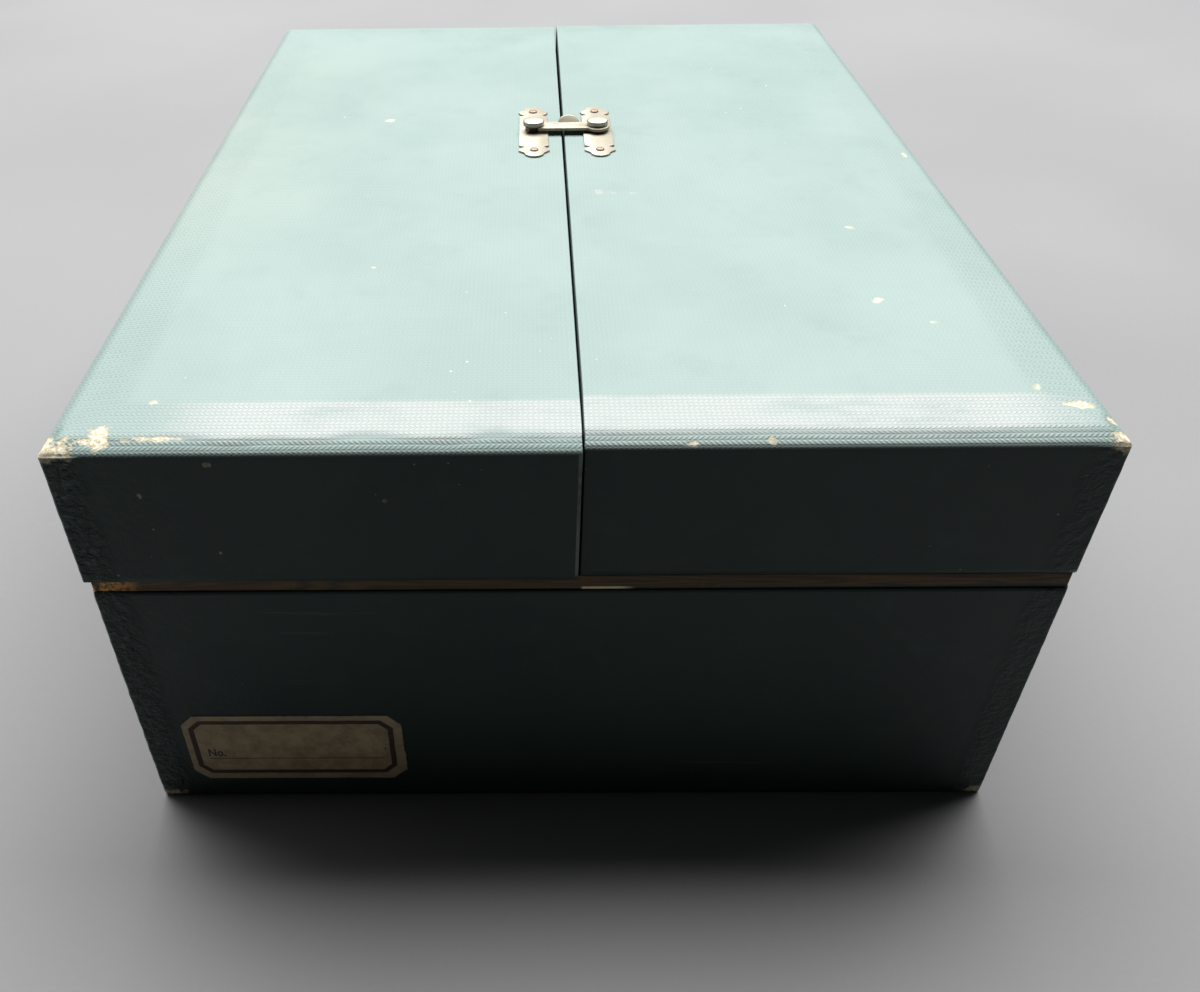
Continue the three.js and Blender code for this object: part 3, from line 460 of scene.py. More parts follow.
def glass():
    """Clear lens glass with a little dust."""
    s = Shader("lens_glass", {"Transmission Weight": 1.0, "IOR": 1.5})
    dust = s.noise(700, 3, 0.6)
    color = s.mix(dust.step(0.5, 0.7), (0.93, 0.97, 0.96), (0.86, 0.90, 0.89))
    return s.finish(color, 0.02 + dust.step(0.55, 0.8) * 0.08, dust, 0.004)


def floor_finish():
    """Matt pale grey."""
    s = Shader("pale_floor")
    cloud = s.noise(3, 2)
    grain = s.noise(400, 2)
    color = s.mix(cloud.step(0.3, 0.7), (0.135, 0.135, 0.137), (0.148, 0.148, 0.15))
    return s.finish(color, 0.8 + grain * 0.1, grain, 0.05)


CLOTH_FINISH = teal_cloth()
BOARD = wood("pale_wood_boards", (0.30, 0.17, 0.075), (0.20, 0.105, 0.042), 1, 0.5)
CROSS_BOARD = wood("pale_wood_cross_boards", (0.30, 0.17, 0.075), (0.20, 0.105, 0.042), 0, 0.5)
STRIP = wood("rim_wood", (0.078, 0.044, 0.011), (0.036, 0.020, 0.006), 0, 0.66, scuffed=True)
RACK_BOARD = wood("rack_wood", (0.120, 0.043, 0.0165), (0.080, 0.028, 0.011), 1, 0.42)
VELVET = velvet("wine_velvet", (0.040, 0.005, 0.010), (0.066, 0.009, 0.016))
PAPER = paper()
INK = ink()
NICKEL = metal("nickel_plate", (0.280, 0.257, 0.205), (0.225, 0.195, 0.145), 0.42, 0.3, bare=0.6)
# The studs get painted shade below their heads.
STUD_METAL = metal(
    "stud_nickel", (0.38, 0.355, 0.30), (0.28, 0.24, 0.18), 0.34, 0.3, bare=0.75, foot=HEAD_BOTTOM + 0.1
)
NAIL = metal("nail_copper", (0.19, 0.135, 0.10), (0.13, 0.085, 0.06), 0.45, 0.3, bare=0.6)
BRASS = metal("old_brass", (0.62, 0.44, 0.17), (0.30, 0.19, 0.07), 0.3)
LENS_METAL = metal("lens_rim_metal", (0.80, 0.66, 0.36), (0.55, 0.40, 0.18), 0.22)
FRAME_METAL = metal("frame_metal", (0.72, 0.72, 0.70), (0.42, 0.40, 0.36), 0.24)
BLACK = metal("black_lacquer", (0.022, 0.022, 0.024), (0.05, 0.045, 0.04), 0.35, 0.2, bare=0.25)
GLASS = glass()


# ---- making meshes

def linked(name, data):
    """A new object in the scene, holding this mesh, text, camera or light."""
    made = bpy.data.objects.new(name, data)
    bpy.context.scene.collection.objects.link(made)
    return made


def evaluated_mesh(name, holder):
    """The mesh that a helper object's text or modifier makes. The helper is removed."""
    bpy.context.view_layer.update()
    graph = bpy.context.evaluated_depsgraph_get()
    mesh = bpy.data.meshes.new_from_object(holder.evaluated_get(graph))
    mesh.name = name
    bpy.data.objects.remove(holder)
    return mesh


def new_object(mesh, material, body, replaces=()):
    """A finished piece, named after its mesh, which is in place already."""
    piece = linked(mesh.name, mesh)
    mesh.materials.clear()
    mesh.materials.append(material)
    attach(piece, body)
    if replaces:
        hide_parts(*replaces)
    return piece


def mesh_of(name, points, faces, smooth=True):
    """A mesh from points in millimetres."""
    mesh = bpy.data.meshes.new(name)
    mesh.from_pydata([tuple(c * MM for c in p) for p in points], [], faces)
    mesh.polygons.foreach_set("use_smooth", [smooth] * len(mesh.polygons))
    mesh.update()
    return mesh


def lines(low, high, low_round, high_round, step, near=0.0, near_step=1.0):
    """Places of the grid lines from low to high: close together on the rounded ends and near them."""
    bend = (0.0, 0.42, 0.73, 1.0)  # how the lines share out a rounded end
    start = [low + low_round * b for b in bend] if low_round else [low]
    end = [high - high_round * b for b in reversed(bend)] if high_round else [high]
    extra = list(np.arange(near_step, near + 1e-6, near_step)) if near else []
    start += [start[-1] + e for e in extra]
    end = [end[0] - e for e in reversed(extra)] + end
    first, last = start[-1], end[0]
    count = max(1, round((last - first) / step))
    between = [first + (last - first) * i / count for i in range(1, count)]
    return np.array(start + between + end)


def shell(grid, rounds, sides, keep=None):
    """The outside of a box whose edges are rounded, as (points, directions, faces, flat places, sides).
    grid is the lines along x, y and z, rounds the (low, high) radius on each axis, and sides the names of
    the box's sides that are made, such as "-x". keep(side, middle of a face) leaves a face out."""
    index, keys, faces, face_sides = {}, [], [], []
    last = [len(g) - 1 for g in grid]

    def corner(key):
        if key not in index:
            index[key] = len(keys)
            keys.append(key)
        return index[key]

    for side in sides:
        axis = "xyz".index(side[1])
        fixed = last[axis] if side[0] == "+" else 0
        first, second = [a for a in range(3) if a != axis]
        flip = (side[0] == "+") == (axis == 1)
        for i in range(last[first]):
            for j in range(last[second]):
                ring = []
                for di, dj in ((0, 0), (1, 0), (1, 1), (0, 1)):
                    key = [0, 0, 0]
                    key[axis], key[first], key[second] = fixed, i + di, j + dj
                    ring.append(tuple(key))
                middle = [sum(grid[a][k[a]] for k in ring) / 4 for a in range(3)]
                if keep and not keep(side, middle):
                    continue
                ring = ring[::-1] if flip else ring
                faces.append([corner(k) for k in ring])
                face_sides.append(side)
    keys = np.array(keys)
    flat = np.stack([grid[a][keys[:, a]] for a in range(3)], 1)
    inner = flat.copy()
    reach = np.zeros_like(flat)
    for a in range(3):
        low, high = grid[a][0] + rounds[a][0], grid[a][-1] - rounds[a][1]
        inner[:, a] = np.clip(flat[:, a], low, high)
        offset = flat[:, a] - inner[:, a]
        radius = np.where(offset < 0, rounds[a][0], rounds[a][1])
        reach[:, a] = np.divide(offset, radius, out=np.zeros_like(offset), where=radius > 0)
        for end, sign in ((0, "-"), (last[a], "+")):  # a square edge leans a trace to its side
            on_side = (keys[:, a] == end) & (f"{sign}{'xyz'[a]}" in sides)
            reach[on_side & (rounds[a][0 if end == 0 else 1] == 0), a] = 1e-9 * (1 if end else -1)
    length = np.linalg.norm(reach, axis=1, keepdims=True)
    direction = reach / np.maximum(length, 1e-12)
    radii = np.stack([np.where(reach[:, a] < 0, rounds[a][0], rounds[a][1]) for a in range(3)], 1)
    points = inner + direction * radii
    return points, direction, faces, flat, face_sides


def lumps(points, scale, seed):
    """Noise from -1 to 1 at points in millimetres, with lumps about this long."""
    shift = Vector((seed * 31.7, seed * 11.3, seed * 7.9))
    return np.array([noise.noise(Vector(p) / scale + shift) for p in points])


def smooth_steps(distance, places, heights, ease):
    """A line through the heights at the places, with its corners eased."""
    total = np.zeros_like(distance)
    for offset in np.linspace(-1, 1, 7):
        total += np.interp(distance + offset * ease, places, heights)
    return total / 7


def add_attributes(mesh, **attributes):
    """Gives the mesh's points named values for its material to read."""
    for name, values in attributes.items():
        attribute = mesh.attributes.new(name, "FLOAT", "POINT")
        attribute.data.foreach_set("value", np.asarray(values, np.float32))


# ---- the case's cloth

def unfold_box(side, p):
    """Where a point of a box's side is on the flat cloth. Rows run round the case."""
    x, y, z = p
    if side == "+z":
        return x, y
    if side[1] == "y":
        return x, (z if side == "-y" else -z)
    return y, z


def covering(mesh, flat, faces, face_sides, body, node):
    """Makes the mesh a sheet of cloth, with UVs in millimetres along it."""
    layer = mesh.uv_layers.new(name="cloth")
    values = []
    for face, side in zip(faces, face_sides):
        for corner in face:
            values.extend(unfold_box(side, flat[corner]))
    layer.data.foreach_set("uv", values)
    piece = new_object(mesh, CLOTH_FINISH, body, [node])
    modifier = piece.modifiers.new("thickness", "SOLIDIFY")
    modifier.thickness = CLOTH * MM
    modifier.offset = -1.0


def edge_nearness(flat, low, high):
    """Over 0.6 on the outer edges of a box, more at its corners, falling to 0 a little way from them."""
    gaps = [np.minimum(np.abs(flat[:, a] - low[a]), np.abs(flat[:, a] - high[a])) for a in range(3)]
    gaps = np.sort(np.stack(gaps, 1), axis=1)
    ridge = np.clip(1 - gaps[:, 1] / 1.5, 0, 1)
    corner = np.clip(1 - gaps[:, 2] / 9.0, 0, 1)
    return ridge * (0.62 + 0.5 * corner)


def wrapped(flat, half_x, front, back):
    """1 where the cloth is folded over itself round an upright corner, and half that on the right."""
    to_side = half_x - np.abs(flat[:, 0])
    to_end = np.minimum(flat[:, 1] - front, back - flat[:, 1])
    reach = np.maximum(to_side, to_end)
    ragged = WRAP + 1.6 * lumps(flat * [0, 0, 1] + [0, 0, 3], 9, 4)
    return np.clip((ragged - reach) / 4, 0, 1) * np.where(flat[:, 0] > 0, 0.5, 1.0)


def lid_rise(flat, front, back):
    """How far a lid's top stands over its edge, and how far each point is from the three outer edges."""
    border = np.minimum.reduce([CASE_HALF_X - np.abs(flat[:, 0]), flat[:, 1] - front, back - flat[:, 1]])
    slope = smooth_steps(border, (0, STEEP, CROWN), (0, STEEP_RISE, CROWN_RISE), 0.8)
    turn = np.clip(np.abs(flat[:, 0]) / SEAM_EASE, 0, 1)
    at_seam = CROWN_RISE * np.sqrt(1 - (1 - turn) ** 2)
    return np.minimum(np.maximum(slope, 0), at_seam), border


def lid_grid(side, front, back):
    """Lines of a lid's covering along x, y and z, close together at the seam, the edges and the border."""
    grid_x = lines(0, CASE_HALF_X, SEAM_ROUND, ROUND, 4, WRAP + 2)
    grid_x = np.unique(np.concatenate([grid_x, [0.15, 0.35, 0.6]]))
    if side < 0:
        grid_x = -grid_x[::-1]
    grid_y = lines(front, back, ROUND, ROUND, 4, CROWN + 2)
    grid_y = np.unique(np.concatenate([grid_y, [front + LID_WALL, back - LID_WALL]]))
    grid_z = np.unique(np.concatenate([lines(LID_BOTTOM, LID_EDGE, 0, ROUND, 1.6), [PANEL_BOTTOM]]))
    return grid_x, grid_y, grid_z


def towards_seam(flat, side):
    """How far the cloth lies from a straight seam, because the seam leans and widens to the back."""
    along = (flat[:, 1] + CASE_HALF_Y) / (2 * CASE_HALF_Y)
    gap = SEAM_GAP[0] + along * (SEAM_GAP[1] - SEAM_GAP[0])
    seam_x = SEAM_X[0] + along * (SEAM_X[1] - SEAM_X[0]) + side * gap / 2
    return seam_x * (1 - np.abs(flat[:, 0]) / CASE_HALF_X)


def lid_cloth(label, side):
    """A lid's covering: one sheet over its top and round its walls, turned in along the seam."""
    front, back = -CASE_HALF_Y + side * LID_SHIFT, CASE_HALF_Y + side * LID_SHIFT
    seam, outer = ("-x", "+x") if side > 0 else ("+x", "-x")
    seam_round = (SEAM_ROUND, ROUND) if side > 0 else (ROUND, SEAM_ROUND)

    def keep(face, middle):
        in_wall = middle[1] < front + LID_WALL or middle[1] > back - LID_WALL
        return face != seam or middle[2] > PANEL_BOTTOM or in_wall

    points, direction, faces, flat, face_sides = shell(
        lid_grid(side, front, back),
        (seam_round, (ROUND, ROUND), (0, ROUND)),
        ("+z", "-y", "+y", outer, seam),
        keep,
    )
    rise, border = lid_rise(flat, front, back)
    upper = np.clip((flat[:, 2] - (LID_EDGE - ROUND)) / ROUND, 0, 1)
    points[:, 2] += rise * upper
    points[:, 0] += towards_seam(flat, side)

    wall = flat[:, 2] < LID_EDGE - 0.5
    wrap = wrapped(flat, CASE_HALF_X, front, back) * wall
    wrinkle = lumps(points * [1, 1, 0.6] + points[:, [2, 0, 1]] * [0.5, 0, 0], 3.2, 1)
    push = wrap * (0.18 + 0.20 * wrinkle)
    push += 0.10 * lumps(points, 38, 2)
    waviness, polish_and_sheen_start, polish_and_sheen_least = (2.8, 26, 0.05) if side < 0 else (0.9, 4, 0.2)
    behind_crease = border - STEEP - waviness * lumps(flat * [1, 0, 0], 17, 9)
    near_front = np.clip((front + 12 - flat[:, 1]) / 3, 0, 1)
    # A groove behind the steep front border. The cloth's material paints shade into it.
    crease = np.exp(-((behind_crease / 1.2) ** 2)) * (1 - wall) * near_front
    push -= crease * (0.30 + 0.2 * lumps(points, 14, 3))
    points += direction * push[:, None]

    band = np.clip((CROWN + 1 - border) / 2, 0, 1) * (1 - wall)
    ahead = np.clip((front + CROWN + 1 - flat[:, 1]) / 2, 0, 1)
    from_side = np.clip((CASE_HALF_X - np.abs(flat[:, 0]) - polish_and_sheen_start) / 26, 0, 1)
    # Where the lid's front band gets its painted sheen. The band is also a little smoother there.
    polish = band * ahead * from_side * np.clip((behind_crease + 0.6) / 1.2, polish_and_sheen_least, 1)
    edge = edge_nearness(flat, (-CASE_HALF_X, front, -FAR), (CASE_HALF_X, back, LID_EDGE))
    mesh = mesh_of(f"{label}_lid_covering", points, faces)
    add_attributes(mesh, edge=edge, wrap=wrap, band=band, polish=polish, crease=crease)
    covering(mesh, flat, faces, face_sides, f"{label}_lid", f"{label}_lid_cloth")


def base_cloth():
    """The base's covering: four walls, folded over itself at the upright corners."""
    grid = (
        lines(-BASE_HALF_X, BASE_HALF_X, ROUND, ROUND, 5, WRAP + 2),
        lines(-BASE_HALF_Y, BASE_HALF_Y, ROUND, ROUND, 5, WRAP + 2),
        lines(CLOTH_BOTTOM, BASE_TOP, 0, 0, 1.8),
    )
    rounds = ((ROUND, ROUND), (ROUND, ROUND), (0, 0))
    points, direction, faces, flat, face_sides = shell(grid, rounds, ("-x", "+x", "-y", "+y"))
    wrap = wrapped(flat, BASE_HALF_X, -BASE_HALF_Y, BASE_HALF_Y)
    slanted = points + points[:, [2, 2, 0]] * [0.6, 0, 0]
    wrinkle = lumps(slanted * [1, 1, 0.8], 3.4, 5)
    ends = np.clip(np.minimum(flat[:, 2] - CLOTH_BOTTOM, BASE_TOP - flat[:, 2]) / 2, 0, 1)
    push = ends * (wrap * (0.20 + 0.22 * wrinkle)) + 0.10 * lumps(points, 45, 6)
    points += direction * push[:, None]
    edge = edge_nearness(flat, (-BASE_HALF_X, -BASE_HALF_Y, CLOTH_BOTTOM), (BASE_HALF_X, BASE_HALF_Y, FAR))
    plain = np.zeros(len(points))
    mesh = mesh_of("base_covering", points, faces)
    add_attributes(mesh, edge=edge, wrap=wrap, band=plain, polish=plain, crease=plain)
    covering(mesh, flat, faces, face_sides, "case", "base_cloth")


# ---- pieces that keep their form, with eased edges

def softened(node, material, width, segments=2):
    """A copy of a CAD node with its flat faces whole and its edges eased."""
    source = frame["nodes"][node]
    mesh = bmesh.new()
    mesh.from_mesh(source.data)
    bmesh.ops.remove_doubles(mesh, verts=mesh.verts, dist=1e-6)
    bmesh.ops.dissolve_limit(mesh, angle_limit=math.radians(0.6), verts=mesh.verts, edges=mesh.edges)
    made = bpy.data.meshes.new(f"{node}_finished")
    mesh.to_mesh(made)
    mesh.free()
    made.polygons.foreach_set("use_smooth", [True] * len(made.polygons))
    piece = new_object(made, material, source["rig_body"], [node])
    bevel = piece.modifiers.new("eased_edges", "BEVEL")
    bevel.width = width * MM
    bevel.segments = segments
    bevel.limit_method = "ANGLE"
    bevel.angle_limit = math.radians(25)
    bevel.harden_normals = True
    bevel.use_clamp_overlap = True
    return piece


def lower_hook(hook):
    """Sets the hook close over the plates, widens its arm and leans its thumb tab back."""
    for vertex in hook.data.vertices:
        above = max(0.0, vertex.co.z - (HOOK_TOP + 0.05) * MM)
        from_middle = vertex.co.y - LATCH_Y * MM
        vertex.co.y = LATCH_Y * MM + from_middle * HOOK_WIDENING + above * THUMB_LEAN
        vertex.co.z -= above * THUMB_LOSS + HOOK_DROP * MM


def soften_all():
    """Every piece whose CAD form stays as it is."""
    for node in ("base_floor", "base_left_wall", "base_right_wall", "tray_rest_left", "tray_rest_right"):
        softened(node, BOARD, 0.5)
    for node in ("base_front_wall", "base_back_wall"):
        softened(node, CROSS_BOARD, 0.5)
    softened("rim_strip", STRIP, 0.35)
    for side in ("left", "right"):
        softened(f"{side}_lid_frame", BOARD, 1.2)
        softened(f"{side}_lid_panel", BOARD, 1.0)
        for end in ("front", "back"):
            for leaf in ("base_leaf", "lid_leaf"):
                softened(f"{side}_{end}_hinge_{leaf}", BRASS, 0.15)
            softened(f"{side}_{end}_hinge_pin", BRASS, 0.25)
        softened(f"{side}_temple", FRAME_METAL, 0.3)
        softened(f"{side}_cell", FRAME_METAL, 0.3)
        softened(f"{side}_cell_ring", BLACK, 0.2)
    for node in ("tray_floor", "tray_frame", "tray_partition", "rack_divider_1", "rack_divider_2"):
        softened(node, RACK_BOARD, 0.7)
    for rack in (1, 2, 3):
        softened(f"lens_rack_{rack}", VELVET, 0.5)
    for node in ("frame_bar", "nose_rest"):
        softened(node, FRAME_METAL, 0.25)
    for node in ("catch_plate", "pivot_plate"):
        softened(node, NICKEL, 0.22)
    lower_hook(softened("latch_hook", NICKEL, 0.3, 3))
    softened("occluder", BLACK, 0.3)
    for number in (1, 2, 3):
        softened(f"lens_{number}_rim", LENS_METAL, 0.2)
        softened(f"lens_{number}_glass", GLASS, 0.1)


# ---- turned pieces

def around(count):
    """Each place in a ring, with the next one."""
    return [(i, (i + 1) % count) for i in range(count)]


def turned(profile, facets, place=(0, 0), first=0.0):
    """Points and faces turned about an upright axis, from (radius, height) pairs that start and end on it.
    The first corner of each ring is this share of a facet round."""
    points, faces = [], []
    rings = profile[1:-1]
    for radius, height in rings:
        for i in range(facets):
            angle = 2 * math.pi * (i + first) / facets
            points.append((place[0] + radius * math.cos(angle), place[1] + radius * math.sin(angle), height))
    last = (len(rings) - 1) * facets
    for start in range(0, last, facets):
        a, b = start, start + facets
        faces += [(a + i, a + j, b + j, b + i) for i, j in around(facets)]
    centre = len(points)
    points += [(*place, profile[0][1]), (*place, profile[-1][1])]
    faces += [(j, i, centre) for i, j in around(facets)]
    faces += [(last + i, last + j, centre + 1) for i, j in around(facets)]
    return points, faces


def stud(name, x, spacer, body, node):
    """A stud with a domed head, whose lower rim is eased. The pivot stud stands on a spacer."""
    shoulder = HEAD_BOTTOM + HEAD_SIDE
    dome = [(HEAD_RADIUS, shoulder)]
    for degrees in range(15, 90, 12):
        angle = math.radians(degrees)
        dome.append((HEAD_RADIUS * math.cos(angle) ** 0.7, shoulder + DOME_RISE * math.sin(angle)))
    if spacer:
        foot = [(SPACER_RADIUS, PLATE_TOP), (SPACER_RADIUS, SPACER_TOP - 0.2)]
        foot.append((SPACER_RADIUS - 0.2, SPACER_TOP))
    else:
        foot = [(NECK_RADIUS + 0.9, PLATE_TOP), (NECK_RADIUS + 0.3, PLATE_TOP + 0.4)]
    neck_start = SPACER_TOP if spacer else PLATE_TOP
    neck = [(NECK_RADIUS, neck_start + 0.9), (NECK_RADIUS, HEAD_BOTTOM)]
    rim = [(HEAD_RADIUS - 0.5, HEAD_BOTTOM), (HEAD_RADIUS - 0.1, HEAD_BOTTOM + 0.2)]
    profile = [(0, PLATE_TOP), *foot, *neck, *rim, *dome, (0, shoulder + DOME_RISE)]
    mesh = mesh_of(name, *turned(profile, 48, (x, LATCH_Y)))
    return new_object(mesh, STUD_METAL, body, [node])


# ---- repeated pieces, by geometry nodes

def copies_tree(name, helper, material, settings):
    """Geometry nodes that put the helper's shape at each place, and the values of their named inputs."""
    tree = bpy.data.node_groups.new(f"{name}_tree", "GeometryNodeTree")
    tree.interface.new_socket("Places", in_out="INPUT", socket_type="NodeSocketGeometry")
    inputs = []
    for label, kind, value in settings:
        socket = tree.interface.new_socket(label, in_out="INPUT", socket_type=kind)
        socket.default_value = value
        inputs.append((socket.identifier, value))
    tree.interface.new_socket("Copies", in_out="OUTPUT", socket_type="NodeSocketGeometry")

    def add(kind, values, settings=None):
        return add_node(tree, kind, settings, values).outputs

    given = tree.nodes.new("NodeGroupInput").outputs
    seed, turn = given["Seed"], given["Largest Turn"]
    points = add("GeometryNodeMeshToPoints", {"Mesh": given["Places"]})
    shape = add("GeometryNodeObjectInfo", {"Object": helper})
    least = add("ShaderNodeMath", {0: turn, 1: -1.0}, {"operation": "MULTIPLY"})
    number = {"data_type": "FLOAT"}
    spin = add("FunctionNodeRandomValue", {2: least[0], 3: turn, "Seed": seed}, number)
    smallest = add("ShaderNodeMath", {0: 1.0, 1: given["Size Spread"]}, {"operation": "SUBTRACT"})
    size = add("FunctionNodeRandomValue", {2: smallest[0], 3: 1.0, "Seed": seed}, number)
    spun = add("ShaderNodeCombineXYZ", {"Z": spin[1]})
    values = {"Points": points[0], "Instance": shape["Geometry"], "Scale": size[1]}
    turns = add("GeometryNodeInstanceOnPoints", values)
    for angles in (given["Direction"], spun[0]):
        values = {"Instances": turns[0], "Rotation": angles, "Local Space": True}
        turns = add("GeometryNodeRotateInstances", values)
    real = add("GeometryNodeRealizeInstances", {"Geometry": turns[0]})
    painted = add("GeometryNodeSetMaterial", {"Geometry": real[0], "Material": material})
    add_node(tree, "NodeGroupOutput", None, {0: painted[0]})
    return tree, inputs


def placed_copies(name, places, helper, material, body, seed, turn=0.0, spread=0.0, facing=(0, 0, 0)):
    """One mesh with a copy of the helper at each place, all facing one way. Each is turned at random, up to
    this far either way about its own axis, and is up to this share smaller."""
    settings = (
        ("Largest Turn", "NodeSocketFloat", turn),
        ("Size Spread", "NodeSocketFloat", spread),
        ("Seed", "NodeSocketInt", seed),
        ("Direction", "NodeSocketVector", facing),
    )
    tree, inputs = copies_tree(name, helper, material, settings)
    marks = bpy.data.meshes.new(f"{name}_places")
    marks.from_pydata([tuple(c * MM for c in p) for p in places], [], [])
    holder = linked(f"{name}_holder", marks)
    modifier = holder.modifiers.new("copies", "NODES")
    modifier.node_group = tree
    for identifier, value in inputs:
        modifier[identifier] = value
    return new_object(evaluated_mesh(name, holder), material, body)


def outward(mesh):
    """The same mesh with its doubles merged and every face pointing out."""
    tidy = bmesh.new()
    tidy.from_mesh(mesh)
    bmesh.ops.remove_doubles(tidy, verts=tidy.verts, dist=1e-7)
    bmesh.ops.recalc_face_normals(tidy, faces=tidy.faces)
    tidy.to_mesh(mesh)
    tidy.free()
    return mesh


def template(name, points, faces, smooth=True):
    """A helper object to copy. It is removed when its copies are made."""
    return linked(name, outward(mesh_of(name, points, faces, smooth)))


def on_edge(radius, y, corner):
    """A corner of a lens that stands on edge and faces along Y."""
    angle = 2 * math.pi * corner / LENS_FACETS
    return radius * math.sin(angle), y, radius * math.cos(angle)


def prism(count, start=0):
    """Faces of a prism whose ends are two rings of this many points."""
    a, b = start, start + count
    ends = [tuple(range(a, b)), tuple(range(b + count - 1, b - 1, -1))]
    return ends + [(a + j, a + i, b + i, b + j) for i, j in around(count)]


def lens_rim():
    """A lens rim with a flat handle at its top."""
    inner, half = LENS_RADIUS - 2.6, 1.2
    profile = ((inner, -half), (LENS_RADIUS, -half), (LENS_RADIUS, half), (inner, half))
    points = [on_edge(radius, y, i) for i in range(LENS_FACETS) for radius, y in profile]
    faces = []
    count = len(profile)
    for i, next_i in around(LENS_FACETS):
        a, b = i * count, next_i * count
        faces += [(a + j, b + j, b + next_j, a + next_j) for j, next_j in around(count)]
    outline = ((-3.2, 18.2), (3.2, 18.2), (3.2, 25.6), (1.9, 27.4), (-1.9, 27.4), (-3.2, 25.6))
    faces += prism(len(outline), len(points))
    points += [(x, y, z) for y in (-0.6, 0.6) for x, z in outline]
    return template("lens_rim_template", points, faces, smooth=False)


def lens_glass():
    """A lens's glass, a little crowned on both sides."""
    radius, count = LENS_RADIUS - 1.9, LENS_FACETS
    points = [on_edge(radius, y, i) for y in (-0.5, 0.5) for i in range(count)]
    points += [(0, -1.0, 0), (0, 1.0, 0)]
    faces = []
    for i, j in around(count):
        faces += [(i, j, 2 * count), (count + j, count + i, 2 * count + 1), (i, count + i, count + j, j)]
    return template("lens_glass_template", points, faces)


def fastener_head(radius, height, slot_width=0.0):
    """A low domed nail or screw head, standing on the XY plane. A screw has a slot across it."""
    ring = [(radius, height * 0.35), (radius * 0.8, height * 0.85), (radius * 0.45, height)]
    points, faces = turned([(0, -0.2), (radius, -0.2), *ring, (0, height)], 20, first=0.5)
    if slot_width:
        cut = [0.35 * height if abs(y) < slot_width and z > height * 0.5 else 0 for _, y, z in points]
        points = [(x, y, z - depth) for (x, y, z), depth in zip(points, cut)]
    return template("head_template", points, faces, smooth=not slot_width)


def make_repeats():
    """The rest of the lenses in their racks, the latch plates' nails and the hinge screws."""
    places = [
        (RACKS[rack] + side * LENS_SIDE, FIRST_ROW + row * ROW_PITCH, LENS_Z)
        for rack in range(3)
        for row in range(ROWS)
        for side in (-1, 1)
        if (rack, row, side) not in CAD_LENSES
    ]
    rim, glass_disc = lens_rim(), lens_glass()
    placed_copies("rack_lens_rims", places, rim, LENS_METAL, "tray", seed=3)
    placed_copies("rack_lens_glasses", places, glass_disc, GLASS, "tray", seed=3)
    nail, screw = fastener_head(1.85, 0.75), fastener_head(1.6, 0.5, 0.55)
    for plate, x, body in (("catch_plate", CATCH_X, "left_lid"), ("pivot_plate", PIVOT_X, "right_lid")):
        spots = [(x, LATCH_Y + end * NAIL_REACH, PLATE_TOP) for end in (-1, 1)]
        placed_copies(f"{plate}_nails", spots, nail, NAIL, body, seed=5, turn=math.pi, spread=0.08)
    for side, label in ((-1, "left"), (1, "right")):
        for part, face, z, body in (
            ("base", BASE_HALF_X, BASE_SCREW_Z, "case"),
            ("lid", CASE_HALF_X, LID_SCREW_Z, f"{label}_lid"),
        ):
            spots = [
                (side * (face + HINGE_LEAF), end * HINGE_Y + step * HINGE_SCREW_STEP, z)
                for end in (-1, 1)
                for step in (-1, 0, 1)
            ]
            placed_copies(
                f"{label}_{part}_hinge_screws", spots, screw, BRASS, body,
                seed=7, turn=math.pi, spread=0.04, facing=(0, side * math.pi / 2, 0),
            )
    for helper in (rim, glass_disc, nail, screw):
        bpy.data.objects.remove(helper)


# ---- lid pads

def lid_pad(label):
    """The velvet pad inside a lid: crowned, drawn in at its border, with two columns of shallow tufts."""
    low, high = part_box(f"{label}_lid_pad")
    low, high = [c / MM for c in low], [c / MM for c in high]
    grid = (
        lines(low[0] + PAD_EASE, high[0] - PAD_EASE, PAD_ROUND, PAD_ROUND, 3.4, 12, 3),
        lines(low[1] + PAD_EASE, high[1] - PAD_EASE, PAD_ROUND, PAD_ROUND, 3.4, 12, 3),
        lines(low[2] + PAD_EASE, high[2], PAD_ROUND, 0.4, 1.2),
    )
    rounds = ((PAD_ROUND, PAD_ROUND), (PAD_ROUND, PAD_ROUND), (PAD_ROUND, 0.4))
    points, _, faces, flat, _ = shell(grid, rounds, ("-x", "+x", "-y", "+y", "-z", "+z"))
    border = np.minimum.reduce([
        flat[:, 0] - grid[0][0], grid[0][-1] - flat[:, 0], flat[:, 1] - grid[1][0], grid[1][-1] - flat[:, 1]
    ])
    face = np.clip((grid[2][-1] - 1.5 - flat[:, 2]) / 2.5, 0, 1)
    sag = smooth_steps(border, (0, 9, 30), (1.1, 0.25, 0.0), 2)
    middle = (grid[0][0] + grid[0][-1]) / 2
    tufts = np.zeros(len(points))
    for column, shift in ((-1, 0.0), (1, 0.5)):
        for row in range(-4, 5):
            spot = np.array([middle + column * TUFT_STEP, (row + shift) * TUFT_ROW_STEP])
            away = np.linalg.norm(flat[:, :2] - spot, axis=1)
            tufts = np.maximum(tufts, np.exp(-((away / TUFT_REACH) ** 2)) * TUFT_DEPTH)
    points[:, 2] += face * (sag + tufts + 0.12 * lumps(points, 16, 8))
    points[:, 2] = np.minimum(points[:, 2], grid[2][-1])
    mesh = mesh_of(f"{label}_lid_lining", points, faces)
    piece = new_object(mesh, VELVET, f"{label}_lid", [f"{label}_lid_pad"])


# ---- label

